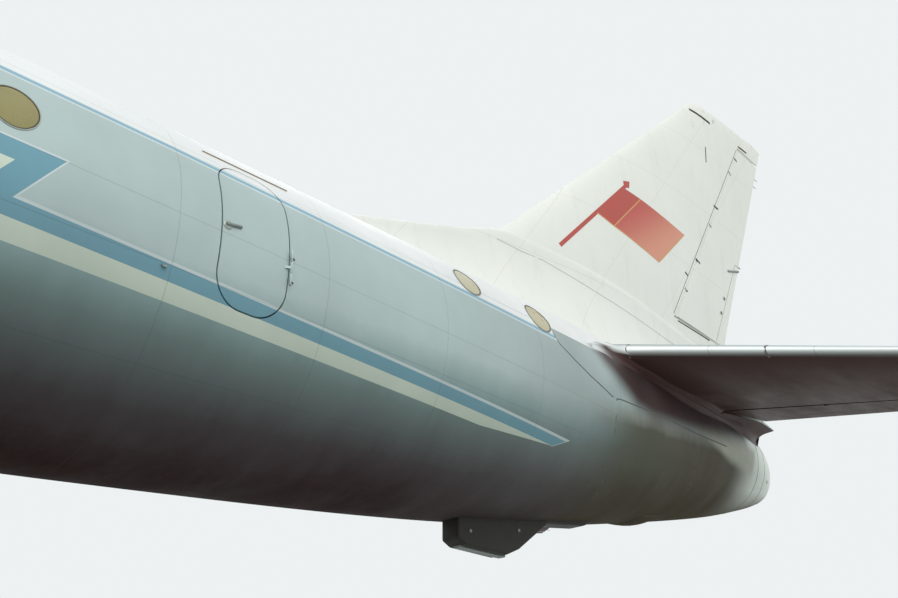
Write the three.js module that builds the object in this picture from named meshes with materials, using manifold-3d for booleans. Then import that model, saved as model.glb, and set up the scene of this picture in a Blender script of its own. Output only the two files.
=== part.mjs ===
// Swept-wing narrow body airliner with two jet engines in its wing roots, standing on its landing gear.
// Millimetres, +Z up. Stations (x) run aft from the tip of the nose, y is positive to starboard,
// and the whole model is shifted at the end so that its origin is on the ground at half length.
import * as THREE from 'three';
import { mergeVertices } from 'three/addons/utils/BufferGeometryUtils.js';
import Module from 'manifold-3d';

const wasm = await Module();
wasm.setup();

// Driving dimensions
const LENGTH = 38850;
const AXIS_Z = 4030;
const TOUCH = 0.3;
const PORT = -1;
const RING_POINTS = 32;

// Fuselage: station, top level, bottom level, half width
const FUSELAGE = [
  { x: 0, top: 3720, bottom: 3500, half: 120 },
  { x: 90, top: 3880, bottom: 3330, half: 290 },
  { x: 300, top: 4040, bottom: 3150, half: 470 },
  { x: 700, top: 4250, bottom: 2930, half: 700 },
  { x: 1300, top: 4480, bottom: 2740, half: 930 },
  { x: 2000, top: 4680, bottom: 2600, half: 1120 },
  { x: 2450, top: 4790, bottom: 2530, half: 1220 },
  { x: 3050, top: 5180, bottom: 2450, half: 1340 },
  { x: 3600, top: 5470, bottom: 2400, half: 1435 },
  { x: 4300, top: 5640, bottom: 2345, half: 1540 },
  { x: 5500, top: 5750, bottom: 2295, half: 1680 },
  { x: 7000, top: 5780, bottom: 2280, half: 1750 },
  { x: 18000, top: 5780, bottom: 2280, half: 1750 },
  { x: 21000, top: 5780, bottom: 2320, half: 1730 },
  { x: 24000, top: 5780, bottom: 2440, half: 1670 },
  { x: 27000, top: 5780, bottom: 2660, half: 1560 },
  { x: 30000, top: 5780, bottom: 2960, half: 1410 },
  { x: 32500, top: 5770, bottom: 3345, half: 1205 },
  { x: 33500, top: 5740, bottom: 3540, half: 1075 },
  { x: 34500, top: 5700, bottom: 3745, half: 940 },
  { x: 35500, top: 5620, bottom: 3975, half: 765 },
  { x: 36200, top: 5490, bottom: 4175, half: 575 },
  { x: 36700, top: 5380, bottom: 4340, half: 400 },
  { x: 36970, top: 5230, bottom: 4470, half: 255 },
  { x: 37120, top: 5050, bottom: 4690, half: 75 },
];
const NOSE_GLAZING_END = 1300;
const FORWARD_END = 10900;
const CENTRE_END = 22600;
const REAR_END = 31550;
const WINDSCREEN = { from: 2480, to: 3560, lowFrom: 4600, lowTo: 5010, high: 5700, depth: 40 };
const RADOME = { x: 3250, z: 2600, length: 1500, half: 640, depth: 560 };
const BUMPER = [[30110, 3200], [30110, 2755], [30230, 2700], [30900, 2690], [31120, 2790], [31640, 3170],
  [32350, 3270], [32650, 3410], [32650, 3600]];
const BUMPER_HALF = 130;

// Doors on the port side: station range, level range, corner radius
const AFT_DOOR = { from: 25940, to: 26620, low: 3700, high: 5080, corner: 270 };
const FORWARD_DOOR = { from: 7000, to: 7720, low: 3480, high: 5080, corner: 270 };
const DOOR_DEPTH = 45;
const DOOR_RECESS = 53;
const DOOR_GAP = 24;
const HINGE_BARREL = 26;
const HINGE_LENGTH = 110;

// Wing: span station y, leading edge x, chord, level of the chord line, thickness ratio
const WING = [
  { y: 1100, x: 12050, chord: 9150, z: 2960, thick: 0.145 },
  { y: 5650, x: 15930, chord: 5600, z: 2960, thick: 0.125 },
  { y: 17120, x: 24730, chord: 2640, z: 2700, thick: 0.11 },
  { y: 17270, x: 25250, chord: 1750, z: 2697, thick: 0.05 },
];
const AILERON = { inner: 11600, outer: 16600, inset: 0.72, travel: 20 };
const FENCES = [{ y: 7700, high: 190 }, { y: 11250, high: 160 }];
const ROOT_SPLIT = 3480;
const FENCE_HALF = 12;

// Engine nacelle in the wing root: station, y centre, z centre, outer radius, duct radius
const NACELLE = [
  { x: 11350, y: 2430, z: 3000, outer: 810, duct: 745 },
  { x: 11500, y: 2430, z: 3000, outer: 860, duct: 715 },
  { x: 12400, y: 2440, z: 2990, outer: 930, duct: 660 },
  { x: 14200, y: 2450, z: 2970, outer: 960, duct: 620 },
  { x: 17500, y: 2470, z: 2940, outer: 950, duct: 620 },
  { x: 19600, y: 2520, z: 2910, outer: 850, duct: 560 },
  { x: 21600, y: 2600, z: 2880, outer: 610, duct: 540 },
];
const ENGINE = { from: 14200, to: 17500, radius: 618 };
const GEAR_POD = [
  { x: 16250, z: 2850, half: 60, high: 60 },
  { x: 16700, z: 2790, half: 330, high: 300 },
  { x: 17600, z: 2740, half: 530, high: 480 },
  { x: 19000, z: 2720, half: 580, high: 530 },
  { x: 20600, z: 2740, half: 570, high: 520 },
  { x: 21900, z: 2810, half: 420, high: 370 },
  { x: 22800, z: 2890, half: 220, high: 180 },
  { x: 23350, z: 2940, half: 50, high: 45 },
];
const GEAR_POD_Y = 5650;

// Fin and tailplane: span station, leading edge x, chord, thickness ratio
const FIN = [
  { z: 5650, x: 29560, chord: 6310, thick: 0.10 },
  { z: 11700, x: 36230, chord: 2520, thick: 0.085 },
  { z: 11850, x: 36470, chord: 2380, thick: 0.06 },
  { z: 11930, x: 36850, chord: 1800, thick: 0.02 },
];
const RUDDER = { low: 6960, high: 11420, hingeLow: 34850, hingeHigh: 37800, travel: 25 };
const TAILPLANE_Z = 5240;
const TAILPLANE = [
  { y: 700, x: 31600, chord: 3900, thick: 0.11 },
  { y: 5850, x: 36750, chord: 1925, thick: 0.09 },
  { y: 6000, x: 37120, chord: 1400, thick: 0.04 },
];
const ELEVATOR = { inner: 985, outer: 5750, inset: 0.7, travel: 25 };

// Fillet of the tailplane root: station, reach along the tailplane, half edge, degrees up and down the side
const ROOT_FILLET = [
  { x: 31350, out: 20, edge: 12, up: 2, down: 2 },
  { x: 31900, out: 220, edge: 40, up: 10, down: 16 },
  { x: 32700, out: 400, edge: 120, up: 17, down: 26 },
  { x: 33700, out: 440, edge: 150, up: 20, down: 32 },
  { x: 34800, out: 230, edge: 100, up: 20, down: 34 },
  { x: 35500, out: 310, edge: 34, up: 16, down: 34 },
  { x: 35900, out: 350, edge: 14, up: 10, down: 28 },
  { x: 36150, out: 385, edge: 8, up: 5, down: 18 },
];
const DORSAL = [
  { x: 27200, crest: 5800, neck: 60, foot: 420 },
  { x: 28400, crest: 6100, neck: 70, foot: 560 },
  { x: 29300, crest: 6360, neck: 80, foot: 640 },
  { x: 30100, crest: 6600, neck: 95, foot: 700 },
  { x: 31100, crest: 6850, neck: 200, foot: 760 },
  { x: 33000, crest: 6760, neck: 335, foot: 760 },
  { x: 34700, crest: 6600, neck: 270, foot: 620 },
  { x: 36100, crest: 6480, neck: 110, foot: 330 },
];

// Landing gear
const MAIN_GEAR = { x: 19600, y: 5650, tyre: 550, width: 330, half: 380, axle: 620 };
const NOSE_GEAR = { x: 5350, tyre: 450, width: 275, half: 240, lift: 1500 };
const TYRE_POINTS = 22;
const AXLE = 62;
const BORE_POINTS = 28;

// Cuts and joins
function solidOf(geometry) {
  const bare = geometry.clone();
  bare.deleteAttribute('normal');
  bare.deleteAttribute('uv');
  const merged = mergeVertices(bare, 0.01);
  return new wasm.Manifold(new wasm.Mesh({
    numProp: 3,
    vertProperties: new Float32Array(merged.attributes.position.array),
    triVerts: new Uint32Array(merged.index.array),
  }));
}

function geometryOf(solid) {
  const mesh = solid.getMesh();
  const geometry = new THREE.BufferGeometry();
  geometry.setAttribute('position', new THREE.BufferAttribute(new Float32Array(mesh.vertProperties), 3));
  geometry.setIndex(new THREE.BufferAttribute(new Uint32Array(mesh.triVerts), 1));
  return geometry;
}

// A closed skin through rings that all have the same number of [x, y, z] points. The two sides of
// the middle plane are split into triangles as mirror images, so that mirrored pieces fit both.
function loft(rings) {
  const count = rings[0].length;
  const points = rings.flat();
  const faces = [];
  for (let r = 0; r + 1 < rings.length; r += 1) {
    for (let k = 0; k < count; k += 1) {
      const a = r * count + k;
      const b = r * count + (k + 1) % count;
      const starboard = points[a][1] + points[b][1] > 0;
      faces.push(starboard ? [a, b, b + count] : [a, b, a + count]);
      faces.push(starboard ? [a, b + count, a + count] : [b, b + count, a + count]);
    }
  }
  for (const end of [0, rings.length - 1]) {
    const middle = points.length;
    const ring = rings[end];
    points.push([0, 1, 2].map((i) => ring.reduce((sum, p) => sum + p[i], 0) / count));
    for (let k = 0; k < count; k += 1) {
      const a = end * count + k;
      const b = end * count + (k + 1) % count;
      faces.push(end === 0 ? [b, a, middle] : [a, b, middle]);
    }
  }
  const volume = faces.reduce((sum, [a, b, c]) => {
    const [p, q, s] = [a, b, c].map((i) => new THREE.Vector3(...points[i]));
    return sum + p.dot(q.cross(s));
  }, 0);
  const turned = volume < 0 ? faces.map(([a, b, c]) => [a, c, b]) : faces;
  const geometry = new THREE.BufferGeometry();
  geometry.setAttribute('position', new THREE.Float32BufferAttribute(points.flat(), 3));
  geometry.setIndex(turned.flat());
  return solidOf(geometry);
}

// An outline drawn in a plane and pushed square to it, from low to high
function prism(outline, plane, low, high) {
  const place = {
    xz: ([a, b], depth) => [a, depth, b],
    xy: ([a, b], depth) => [a, b, depth],
    yz: ([a, b], depth) => [depth, a, b],
  }[plane];
  return loft([low, high].map((depth) => outline.map((p) => place(p, depth))));
}

function box(x, y, z) {
  return prism([[x[0], z[0]], [x[1], z[0]], [x[1], z[1]], [x[0], z[1]]], 'xz', y[0], y[1]);
}

// A cone or cylinder between two points
function rod(from, to, radiusFrom, radiusTo = radiusFrom, points = 16) {
  const [a, b] = [new THREE.Vector3(...from), new THREE.Vector3(...to)];
  const geometry = new THREE.CylinderGeometry(radiusTo, radiusFrom, a.distanceTo(b), points);
  const turn = new THREE.Quaternion().setFromUnitVectors(
    new THREE.Vector3(0, 1, 0),
    b.clone().sub(a).normalize(),
  );
  geometry.applyQuaternion(turn);
  geometry.translate(...a.clone().add(b).multiplyScalar(0.5).toArray());
  return solidOf(geometry);
}

function joined(solids) {
  return solids.reduce((whole, solid) => whole.add(solid));
}

function mix(a, b, share) {
  return a + (b - a) * share;
}

// Reads a table of sections at any station along its key
function sectionAt(table, key, value) {
  const next = Math.max(1, table.findIndex((row) => row[key] >= value));
  const [a, b] = [table[next - 1], table[next]];
  const share = (value - a[key]) / (b[key] - a[key]);
  return Object.fromEntries(Object.keys(a).map((name) => [name, mix(a[name], b[name], share)]));
}

// Fuselage
function fuselageRing({ x, top, bottom, half }, grow) {
  const middle = (top + bottom) / 2;
  const high = (top - bottom) / 2 + grow;
  return Array.from({ length: RING_POINTS }, (_, k) => {
    const turn = (2 * Math.PI * k) / RING_POINTS;
    return [x, (half + grow) * Math.cos(turn), middle + high * Math.sin(turn)];
  });
}

function fuselage(from, to, grow = 0) {
  const inner = FUSELAGE.filter((row) => row.x > from && row.x < to);
  const rows = [sectionAt(FUSELAGE, 'x', from), ...inner, sectionAt(FUSELAGE, 'x', to)];
  return loft(rows.map((row) => fuselageRing(row, grow)));
}

const wholeLength = [FUSELAGE[0].x, FUSELAGE[FUSELAGE.length - 1].x];
const fuselageClear = fuselage(...wholeLength, TOUCH);

function roundedOutline({ from, to, low, high, corner }, grow) {
  const outline = [];
  const steps = 5;
  const centres = [[to - corner, high - corner], [from + corner, high - corner],
    [from + corner, low + corner], [to - corner, low + corner]];
  centres.forEach(([x, z], quarter) => {
    for (let k = 0; k <= steps; k += 1) {
      const turn = (quarter + k / steps) * (Math.PI / 2);
      outline.push([x + (corner + grow) * Math.cos(turn), z + (corner + grow) * Math.sin(turn)]);
    }
  });
  return outline;
}

// A door is a piece of the skin; it hinges on a barrel at its aft edge
function doorHinge(door) {
  const row = sectionAt(FUSELAGE, 'x', door.to);
  return { x: door.to + DOOR_GAP / 2, y: PORT * (row.half + HINGE_BARREL), z: (row.top + row.bottom) / 2 };
}

function hingeBarrel({ x, y, z }, level) {
  const low = z + level - HINGE_LENGTH / 2;
  return rod([x, y, low], [x, y, low + HINGE_LENGTH], HINGE_BARREL, HINGE_BARREL, 12);
}

function hingePlate({ x, y, z }, level, reach) {
  const low = z + level - HINGE_LENGTH / 2;
  const inboard = y - PORT * (HINGE_BARREL + 14);
  return box([Math.min(x, x + reach), Math.max(x, x + reach)], [y, inboard], [low, low + HINGE_LENGTH]);
}

function doorPanel(door) {
  const margin = 200;
  const span = [door.from - margin, door.to + margin];
  const skin = fuselage(...span).subtract(fuselage(span[0] - 50, span[1] + 50, -DOOR_DEPTH));
  const panel = skin.intersect(prism(roundedOutline(door, 0), 'xz', -2500, -500));
  const hinge = doorHinge(door);
  return joined([panel, hingeBarrel(hinge, 0), hingePlate(hinge, 0, -120)]);
}

function doorRecess(door) {
  const margin = 300;
  const span = [door.from - margin, door.to + margin];
  const core = fuselage(span[0] - 50, span[1] + 50, -DOOR_RECESS);
  return prism(roundedOutline(door, DOOR_GAP), 'xz', -2500, -500).subtract(core);
}

function doorLugs(door) {
  const hinge = doorHinge(door);
  const level = HINGE_LENGTH + TOUCH;
  const lugs = [-level, level].map((z) => hingeBarrel(hinge, z).add(hingePlate(hinge, z, 110)));
  return joined(lugs);
}

// The band of skin that the flight deck windows take up, cut to its depth below the surface
function windscreenBand(grow) {
  const { from, to, lowFrom, lowTo, high, depth } = WINDSCREEN;
  const outline = [[from - grow, lowFrom - grow], [to + grow, lowTo - grow], [to + grow, high],
    [from - grow, high]];
  return prism(outline, 'xz', -2000, 2000).subtract(fuselage(from - 300, to + 300, -depth - grow));
}

// Aerofoil ring: chord along x, thickness along the third axis given by place
const CHORD_SHARES = [0, 0.012, 0.05, 0.13, 0.26, 0.42, 0.6, 0.8, 1];
const EDGE_HALF = 0.0016;

function halfThickness(share, thick) {
  const s = Math.min(Math.max(share, 0), 1);
  const shape = 0.2969 * Math.sqrt(s) - 0.126 * s - 0.3516 * s ** 2 + 0.2843 * s ** 3 - 0.1036 * s ** 4;
  return 5 * thick * shape + EDGE_HALF * s;
}

function foilRing({ x, chord, thick }, place) {
  const upper = CHORD_SHARES.map((s) => place(x + s * chord, halfThickness(s, thick) * chord));
  const lower = CHORD_SHARES.slice(1).map((s) => place(x + s * chord, -halfThickness(s, thick) * chord));
  return [...upper, ...lower.reverse()];
}

// Splits a hinged surface off an aerofoil. The moving part has a round nose about the hinge line and
// the fixed part a matching cove, and fixed brackets hold the moving part at its hinges. The moving
// skin starts so far behind the hinge line that it stays behind the fixed skin at full travel.
const COVE_GAP = 5;
const SKIN_GAP = 9;
const END_GAP = 45;
const TIP_GAP = 70;
const NOSE_SHARE = 0.95;
const BRACKET = 44;

function skinStart(radius, travel, slope) {
  const turn = THREE.MathUtils.degToRad(travel);
  const rise = (radius / NOSE_SHARE) * Math.tan(turn) * Math.hypot(1, slope);
  return rise - SKIN_GAP / Math.cos(turn) + 2;
}

function hinged({ whole, from, to, radiusFrom, radiusTo, behind, behindClear, band, bandClear, brackets }) {
  const nose = rod(from, to, radiusFrom, radiusTo, 20);
  const cove = rod(from, to, radiusFrom + COVE_GAP, radiusTo + COVE_GAP, 20);
  let moving = whole.intersect(behind.add(nose.intersect(band)));
  let fixed = whole.subtract(behindClear.add(cove.intersect(bandClear)));
  const [a, b] = [new THREE.Vector3(...from), new THREE.Vector3(...to)];
  const along = b.clone().sub(a).normalize();
  const ahead = new THREE.Vector3(-1, 0, 0).addScaledVector(along, along.x).normalize();
  for (const share of brackets) {
    const centre = a.clone().lerp(b, share);
    const radius = mix(radiusFrom, radiusTo, share);
    const shifted = (shift) => centre.clone().addScaledVector(along, shift).toArray();
    const end = (half) => [shifted(-half), shifted(half)];
    const slot = rod(...end(BRACKET / 2 + TOUCH), radius + 26, radius + 26, 20);
    const disc = rod(...end(BRACKET / 2), 0.55 * radius, 0.55 * radius, 12);
    const arm = rod(
      centre.toArray(),
      centre.clone().addScaledVector(ahead, radius + 3 * BRACKET).toArray(),
      0.3 * BRACKET,
      0.3 * BRACKET,
      8,
    );
    moving = moving.subtract(slot);
    fixed = fixed.add(disc).add(arm);
  }
  return { moving, fixed };
}

// Wing
function wingPlace(row) {
  return (x, t) => [x, PORT * row.y, row.z + t];
}

function nacelleRing({ x, y, z, outer, duct }, inner, grow = 0) {
  const radius = (inner ? duct : outer) + grow;
  return Array.from({ length: 24 }, (_, k) => {
    const turn = (2 * Math.PI * k) / 24;
    return [x, PORT * y + radius * Math.cos(turn), z + radius * Math.sin(turn)];
  });
}

function nacelleSolid(inner, grow = 0) {
  return loft(NACELLE.map((row) => nacelleRing(row, inner, grow)));
}

function podRing({ x, z, half, high }, grow) {
  return Array.from({ length: 20 }, (_, k) => {
    const turn = (2 * Math.PI * k) / 20;
    return [x, PORT * GEAR_POD_Y + (half + grow) * Math.cos(turn), z + (high + grow) * Math.sin(turn)];
  });
}

function podSolid(grow = 0) {
  return loft(GEAR_POD.map((row) => podRing(row, grow)));
}

function aileronHinge(y) {
  const row = sectionAt(WING, 'y', y);
  return [row.x + AILERON.inset * row.chord, PORT * y, row.z];
}

function aileronRadius(y) {
  const row = sectionAt(WING, 'y', y);
  return NOSE_SHARE * halfThickness(AILERON.inset, row.thick) * row.chord;
}

function fence({ y, high }) {
  const row = sectionAt(WING, 'y', y);
  const rise = (s) => row.z + halfThickness(s, row.thick) * row.chord;
  const at = (s) => row.x + s * row.chord;
  const outline = [[at(0.03), row.z], [at(0.02), rise(0.02)], [at(0.1), rise(0.1) + high],
    [at(0.5), rise(0.5) + high], [at(0.7), rise(0.7)], [at(0.7), row.z]];
  return prism(outline, 'xz', PORT * y - FENCE_HALF, PORT * y + FENCE_HALF);
}

function wholeWing() {
  return loft(WING.map((row) => foilRing(row, wingPlace(row))));
}

function wingParts() {
  const outboard = box([11000, 30000], [PORT * 20000, PORT * (ROOT_SPLIT + TOUCH)], [1000, 5000]);
  const whole = wholeWing().intersect(outboard);
  const { inner, outer, travel } = AILERON;
  const [from, to] = [aileronHinge(inner - 120), aileronHinge(outer + 120)];
  const slope = (to[0] - from[0]) / (to[1] - from[1]);
  const hingeX = (y) => from[0] + slope * (PORT * y - from[1]);
  const sheet = (low, high, lowBack, highBack = lowBack) => prism(
    [[hingeX(low) + lowBack, PORT * low], [hingeX(high) + highBack, PORT * high],
      [hingeX(high) + 3000, PORT * high], [hingeX(low) + 3000, PORT * low]], 'xy', 2000, 3600);
  const parts = hinged({
    whole,
    from,
    to,
    radiusFrom: aileronRadius(inner),
    radiusTo: aileronRadius(outer),
    behind: sheet(inner, outer, ...[inner, outer].map((y) => skinStart(aileronRadius(y), travel, slope))),
    behindClear: sheet(inner - END_GAP, outer + END_GAP, -SKIN_GAP),
    band: sheet(inner, outer, -400),
    bandClear: sheet(inner - END_GAP, outer + END_GAP, -400),
    brackets: [0.2, 0.8],
  });
  const fixed = joined([parts.fixed, ...FENCES.map(fence)]).subtract(podSolid(TOUCH));
  return { wing: largest(fixed), aileron: parts.moving };
}

// Keeps the biggest body of a cut, so that no offcut is left over
function largest(solid) {
  return solid.decompose().reduce((best, body) => (body.volume() > best.volume() ? body : best));
}

// The wing root carries the engine: its skin swells into the nacelle and the duct runs through it
function engineNacelle() {
  const root = wholeWing().intersect(box([11000, 30000], [PORT * ROOT_SPLIT, 0], [1000, 5000]));
  return nacelleSolid(false).add(root).subtract(fuselageClear).subtract(ductSolid());
}

// The duct runs past both ends of the nacelle so that it is open there
function ductSolid() {
  const first = NACELLE[0];
  const last = NACELLE[NACELLE.length - 1];
  const rows = [{ ...first, x: first.x - 60 }, ...NACELLE.slice(1, -1), { ...last, x: last.x + 60 }];
  return loft(rows.map((row) => nacelleRing(row, true)));
}

function engine() {
  const a = sectionAt(NACELLE, 'x', ENGINE.from);
  const b = sectionAt(NACELLE, 'x', ENGINE.to);
  const ends = [[ENGINE.from, PORT * a.y, a.z], [ENGINE.to, PORT * b.y, b.z]];
  const body = rod(...ends, ENGINE.radius, ENGINE.radius, 24);
  const bullet = rod([ENGINE.from - 700, PORT * a.y, a.z], [ENGINE.from + 1, PORT * a.y, a.z], 40, 260, 16);
  const cone = rod([ENGINE.to - 1, PORT * b.y, b.z], [ENGINE.to + 900, PORT * b.y, b.z], 300, 50, 16);
  return joined([body, bullet, cone]).intersect(nacelleBore(-TOUCH));
}

function nacelleBore(grow) {
  return loft(NACELLE.map((row) => nacelleRing(row, true, grow)));
}

// Tail
function finParts() {
  const whole = loft(FIN.map((row) => foilRing(row, (x, t) => [x, t, row.z])));
  const { low, high, hingeLow, hingeHigh, travel } = RUDDER;
  const slope = (hingeHigh - hingeLow) / (high - low);
  const hingeX = (z) => hingeLow + slope * (z - low);
  const radiusAt = (z) => {
    const row = sectionAt(FIN, 'z', z);
    return NOSE_SHARE * halfThickness((hingeX(z) - row.x) / row.chord, row.thick) * row.chord;
  };
  const sheet = (bottom, top, lowBack, highBack = lowBack) => prism(
    [[hingeX(bottom) + lowBack, bottom], [hingeX(top) + highBack, top], [hingeX(top) + 3000, top],
      [hingeX(bottom) + 3000, bottom]], 'xz', -500, 500);
  const overrun = 150;
  const parts = hinged({
    whole,
    from: [hingeX(low - overrun), 0, low - overrun],
    to: [hingeX(high + overrun), 0, high + overrun],
    radiusFrom: radiusAt(low),
    radiusTo: radiusAt(high),
    behind: sheet(low, high, ...[low, high].map((z) => skinStart(radiusAt(z), travel, slope))),
    behindClear: sheet(low - END_GAP, high + TIP_GAP, -SKIN_GAP),
    band: sheet(low, high, -400),
    bandClear: sheet(low - END_GAP, high + TIP_GAP, -400),
    brackets: [0.16, 0.5, 0.82],
  });
  return { fin: largest(parts.fixed.subtract(fuselageClear)), rudder: parts.moving };
}

function tailplaneParts() {
  const foil = loft(TAILPLANE.map((row) => foilRing(row, (x, t) => [x, PORT * row.y, TAILPLANE_Z + t])));
  const whole = foil.add(rootFillet());
  const { inner, outer, inset, travel } = ELEVATOR;
  const hingePoint = (y) => {
    const row = sectionAt(TAILPLANE, 'y', y);
    return [row.x + inset * row.chord, PORT * y, TAILPLANE_Z];
  };
  const radiusAt = (y) => {
    const row = sectionAt(TAILPLANE, 'y', y);
    return NOSE_SHARE * halfThickness(inset, row.thick) * row.chord;
  };
  const [from, to] = [hingePoint(inner - 150), hingePoint(outer)];
  const slope = (to[0] - from[0]) / (to[1] - from[1]);
  const hingeX = (y) => from[0] + slope * (PORT * y - from[1]);
  const sheet = (low, high, lowBack, highBack = lowBack) => prism(
    [[hingeX(low) + lowBack, PORT * low], [hingeX(high) + highBack, PORT * high],
      [hingeX(high) + 3500, PORT * high], [hingeX(low) + 3500, PORT * low]], 'xy', 4800, 5700);
  const parts = hinged({
    whole,
    from,
    to,
    radiusFrom: radiusAt(inner),
    radiusTo: radiusAt(outer),
    behind: sheet(inner, outer, ...[inner, outer].map((y) => skinStart(radiusAt(y), travel, slope))),
    behindClear: sheet(inner - END_GAP, outer + END_GAP, -SKIN_GAP),
    band: sheet(inner, outer, -300),
    bandClear: sheet(inner - END_GAP, outer + END_GAP, -300),
    brackets: [0.25, 0.75],
  });
  return { tailplane: largest(parts.fixed.subtract(fuselageClear)), elevator: parts.moving };
}

// Each section curves from the fuselage side, above and below, out to the tailplane's surfaces
function rootFillet() {
  const ring = ({ x, out, edge, up, down }) => {
    const row = sectionAt(FUSELAGE, 'x', Math.min(x, wholeLength[1]));
    const middle = (row.top + row.bottom) / 2;
    const high = (row.top - row.bottom) / 2;
    const turn = Math.asin((TAILPLANE_Z - middle) / high);
    const side = (angle) => [row.half * Math.cos(angle), middle + high * Math.sin(angle)];
    const [corner] = side(turn);
    const curve = (start, level) => [0, 0.25, 0.5, 0.75, 1].map((t) => {
      const weights = [(1 - t) ** 2, 2 * t * (1 - t), t ** 2];
      const points = [start, [corner + 30, level], [corner + out, level]];
      return [0, 1].map((i) => weights.reduce((sum, weight, k) => sum + weight * points[k][i], 0));
    });
    const upper = curve(side(turn + THREE.MathUtils.degToRad(up)), TAILPLANE_Z + edge);
    const lower = curve(side(turn - THREE.MathUtils.degToRad(down)), TAILPLANE_Z - edge).reverse();
    const inside = [[0.8 * corner, TAILPLANE_Z - edge]];
    return [...upper, ...lower, ...inside].map(([y, z]) => [x, PORT * y, z]);
  };
  return loft(ROOT_FILLET.map(ring));
}

// Smooth base that carries the fin on the round top of the fuselage
function finBase() {
  const floor = 5300;
  const steps = 5;
  const ring = ({ x, crest, neck, foot }) => {
    const side = Array.from({ length: steps }, (_, k) => {
      const share = k / (steps - 1);
      return [neck + (foot - neck) * (1 - share) ** 2, mix(floor, crest, share)];
    });
    return [...side.map(([y, z]) => [x, y, z]), ...side.reverse().map(([y, z]) => [x, -y, z])];
  };
  return loft(DORSAL.map(ring));
}

function finClear(grow) {
  return loft(FIN.map((row) => {
    const wider = { ...row, x: row.x - grow, chord: row.chord + 2 * grow };
    return foilRing(wider, (x, t) => [x, t + Math.sign(t) * grow, row.z]);
  }));
}

// Two wheels and their axle turn as one: each wheel is a lathe about y with a dished hub
function wheel(x, y, radius, width) {
  const half = width / 2;
  const outline = [[0, -0.5], [0.3, -0.5], [0.5, -0.86], [0.74, -1], [0.93, -0.82], [1, -0.42]];
  const round = [...outline, ...outline.map(([r, h]) => [r, -h]).reverse()];
  const points = round.map(([r, h]) => new THREE.Vector2(r * radius, h * half));
  const geometry = new THREE.LatheGeometry(points, TYRE_POINTS);
  geometry.translate(x, y, radius);
  return solidOf(geometry);
}

function wheelPair(x, y, radius, width, half) {
  const axle = rod([x, y - half, radius], [x, y + half, radius], AXLE, AXLE, 14);
  return joined([axle, wheel(x, y - half, radius, width), wheel(x, y + half, radius, width)]);
}

// The flats of a bore's wall stay clear of the corners of the axle that turns in it
function axleBore(x, y, z) {
  const radius = (AXLE + TOUCH) / Math.cos(Math.PI / BORE_POINTS);
  return rod([x, y - 200, z], [x, y + 200, z], radius, radius, BORE_POINTS);
}

function mainLeg() {
  const { x, tyre, axle } = MAIN_GEAR;
  const y = PORT * MAIN_GEAR.y;
  const beam = box([x - axle - 120, x + axle + 120], [y - 105, y + 105], [tyre - 110, tyre + 110]);
  const bores = [-axle, axle].map((offset) => axleBore(x + offset, y, tyre));
  const lower = rod([x, y, tyre + 60], [x - 20, y, 1500], 95, 95, 14);
  const upper = rod([x - 20, y, 1400], [x - 60, y, 2600], 150, 160, 14);
  const brace = rod([x - 20, y, 1500], [x - 1250, y, 2500], 60, 60, 10);
  const links = [1450, 720].map((level) => rod([x + 90, y, level], [x + 400, y, 1080], 45, 45, 8));
  const whole = joined([beam, lower, upper, brace, ...links]);
  return bores.reduce((left, bore) => left.subtract(bore), whole).subtract(podSolid(TOUCH));
}

function noseLeg() {
  const { x, lift } = NOSE_GEAR;
  const upper = rod([x - 60, 0, lift], [x - 60, 0, 2500], 120, 130, 14);
  const brace = rod([x - 60, 0, lift + 120], [x + 900, 0, 2500], 55, 55, 10);
  return joined([upper, brace]).subtract(fuselageClear);
}

function noseFork() {
  const { x, tyre, lift } = NOSE_GEAR;
  const piston = rod([x - 60, 0, tyre + 140], [x - 60, 0, lift - TOUCH], 78, 78, 14);
  const head = rod([x - 60, 0, lift - 200], [x - 60, 0, lift - TOUCH], 120, 120, 14);
  const foot = box([x - 150, x + 95], [-70, 70], [tyre - 95, tyre + 170]);
  const ends = [[x + 20, 0, lift - 120], [x + 60, 0, tyre + 120]];
  const links = ends.map((end) => rod(end, [x + 300, 0, 950], 38, 38, 8));
  return joined([piston, head, foot, ...links]).subtract(axleBore(x, 0, tyre));
}

function noseGearDoor() {
  const { x } = NOSE_GEAR;
  const outline = [[x - 900, 1780], [x + 760, 1780], [x + 900, 1950], [x + 900, 2560],
    [x - 900, 2560], [x - 1000, 2300]];
  return prism(outline, 'xz', PORT * 520, PORT * 480).subtract(fuselageClear);
}

// Finishes
function finish(color, roughness, metalness = 0) {
  return new THREE.MeshStandardMaterial({ color, roughness, metalness });
}

const SILVER = finish('#9fb0b4', 0.35, 0.8);
const WHITE = finish('#e9ebe4', 0.45);
const DARK = finish('#4d4f50', 0.5, 0.6);
const GLASS = finish('#39474c', 0.1);
const STEEL = finish('#8b9091', 0.4, 0.8);
const RUBBER = finish('#1f2021', 0.85);
const model = new THREE.Group();

function put(name, solid, material) {
  const mesh = new THREE.Mesh(geometryOf(solid), material);
  mesh.name = name;
  model.add(mesh);
  return mesh;
}

// The starboard piece is the port one mirrored, with its faces turned back outwards
function putPair(name, solid, material) {
  const port = put(`${name}_left`, solid, material);
  const geometry = port.geometry.clone();
  geometry.scale(1, -1, 1);
  const index = geometry.index.array;
  for (let k = 0; k < index.length; k += 3) {
    [index[k + 1], index[k + 2]] = [index[k + 2], index[k + 1]];
  }
  const starboard = new THREE.Mesh(geometry, material);
  starboard.name = `${name}_right`;
  model.add(starboard);
}

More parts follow.
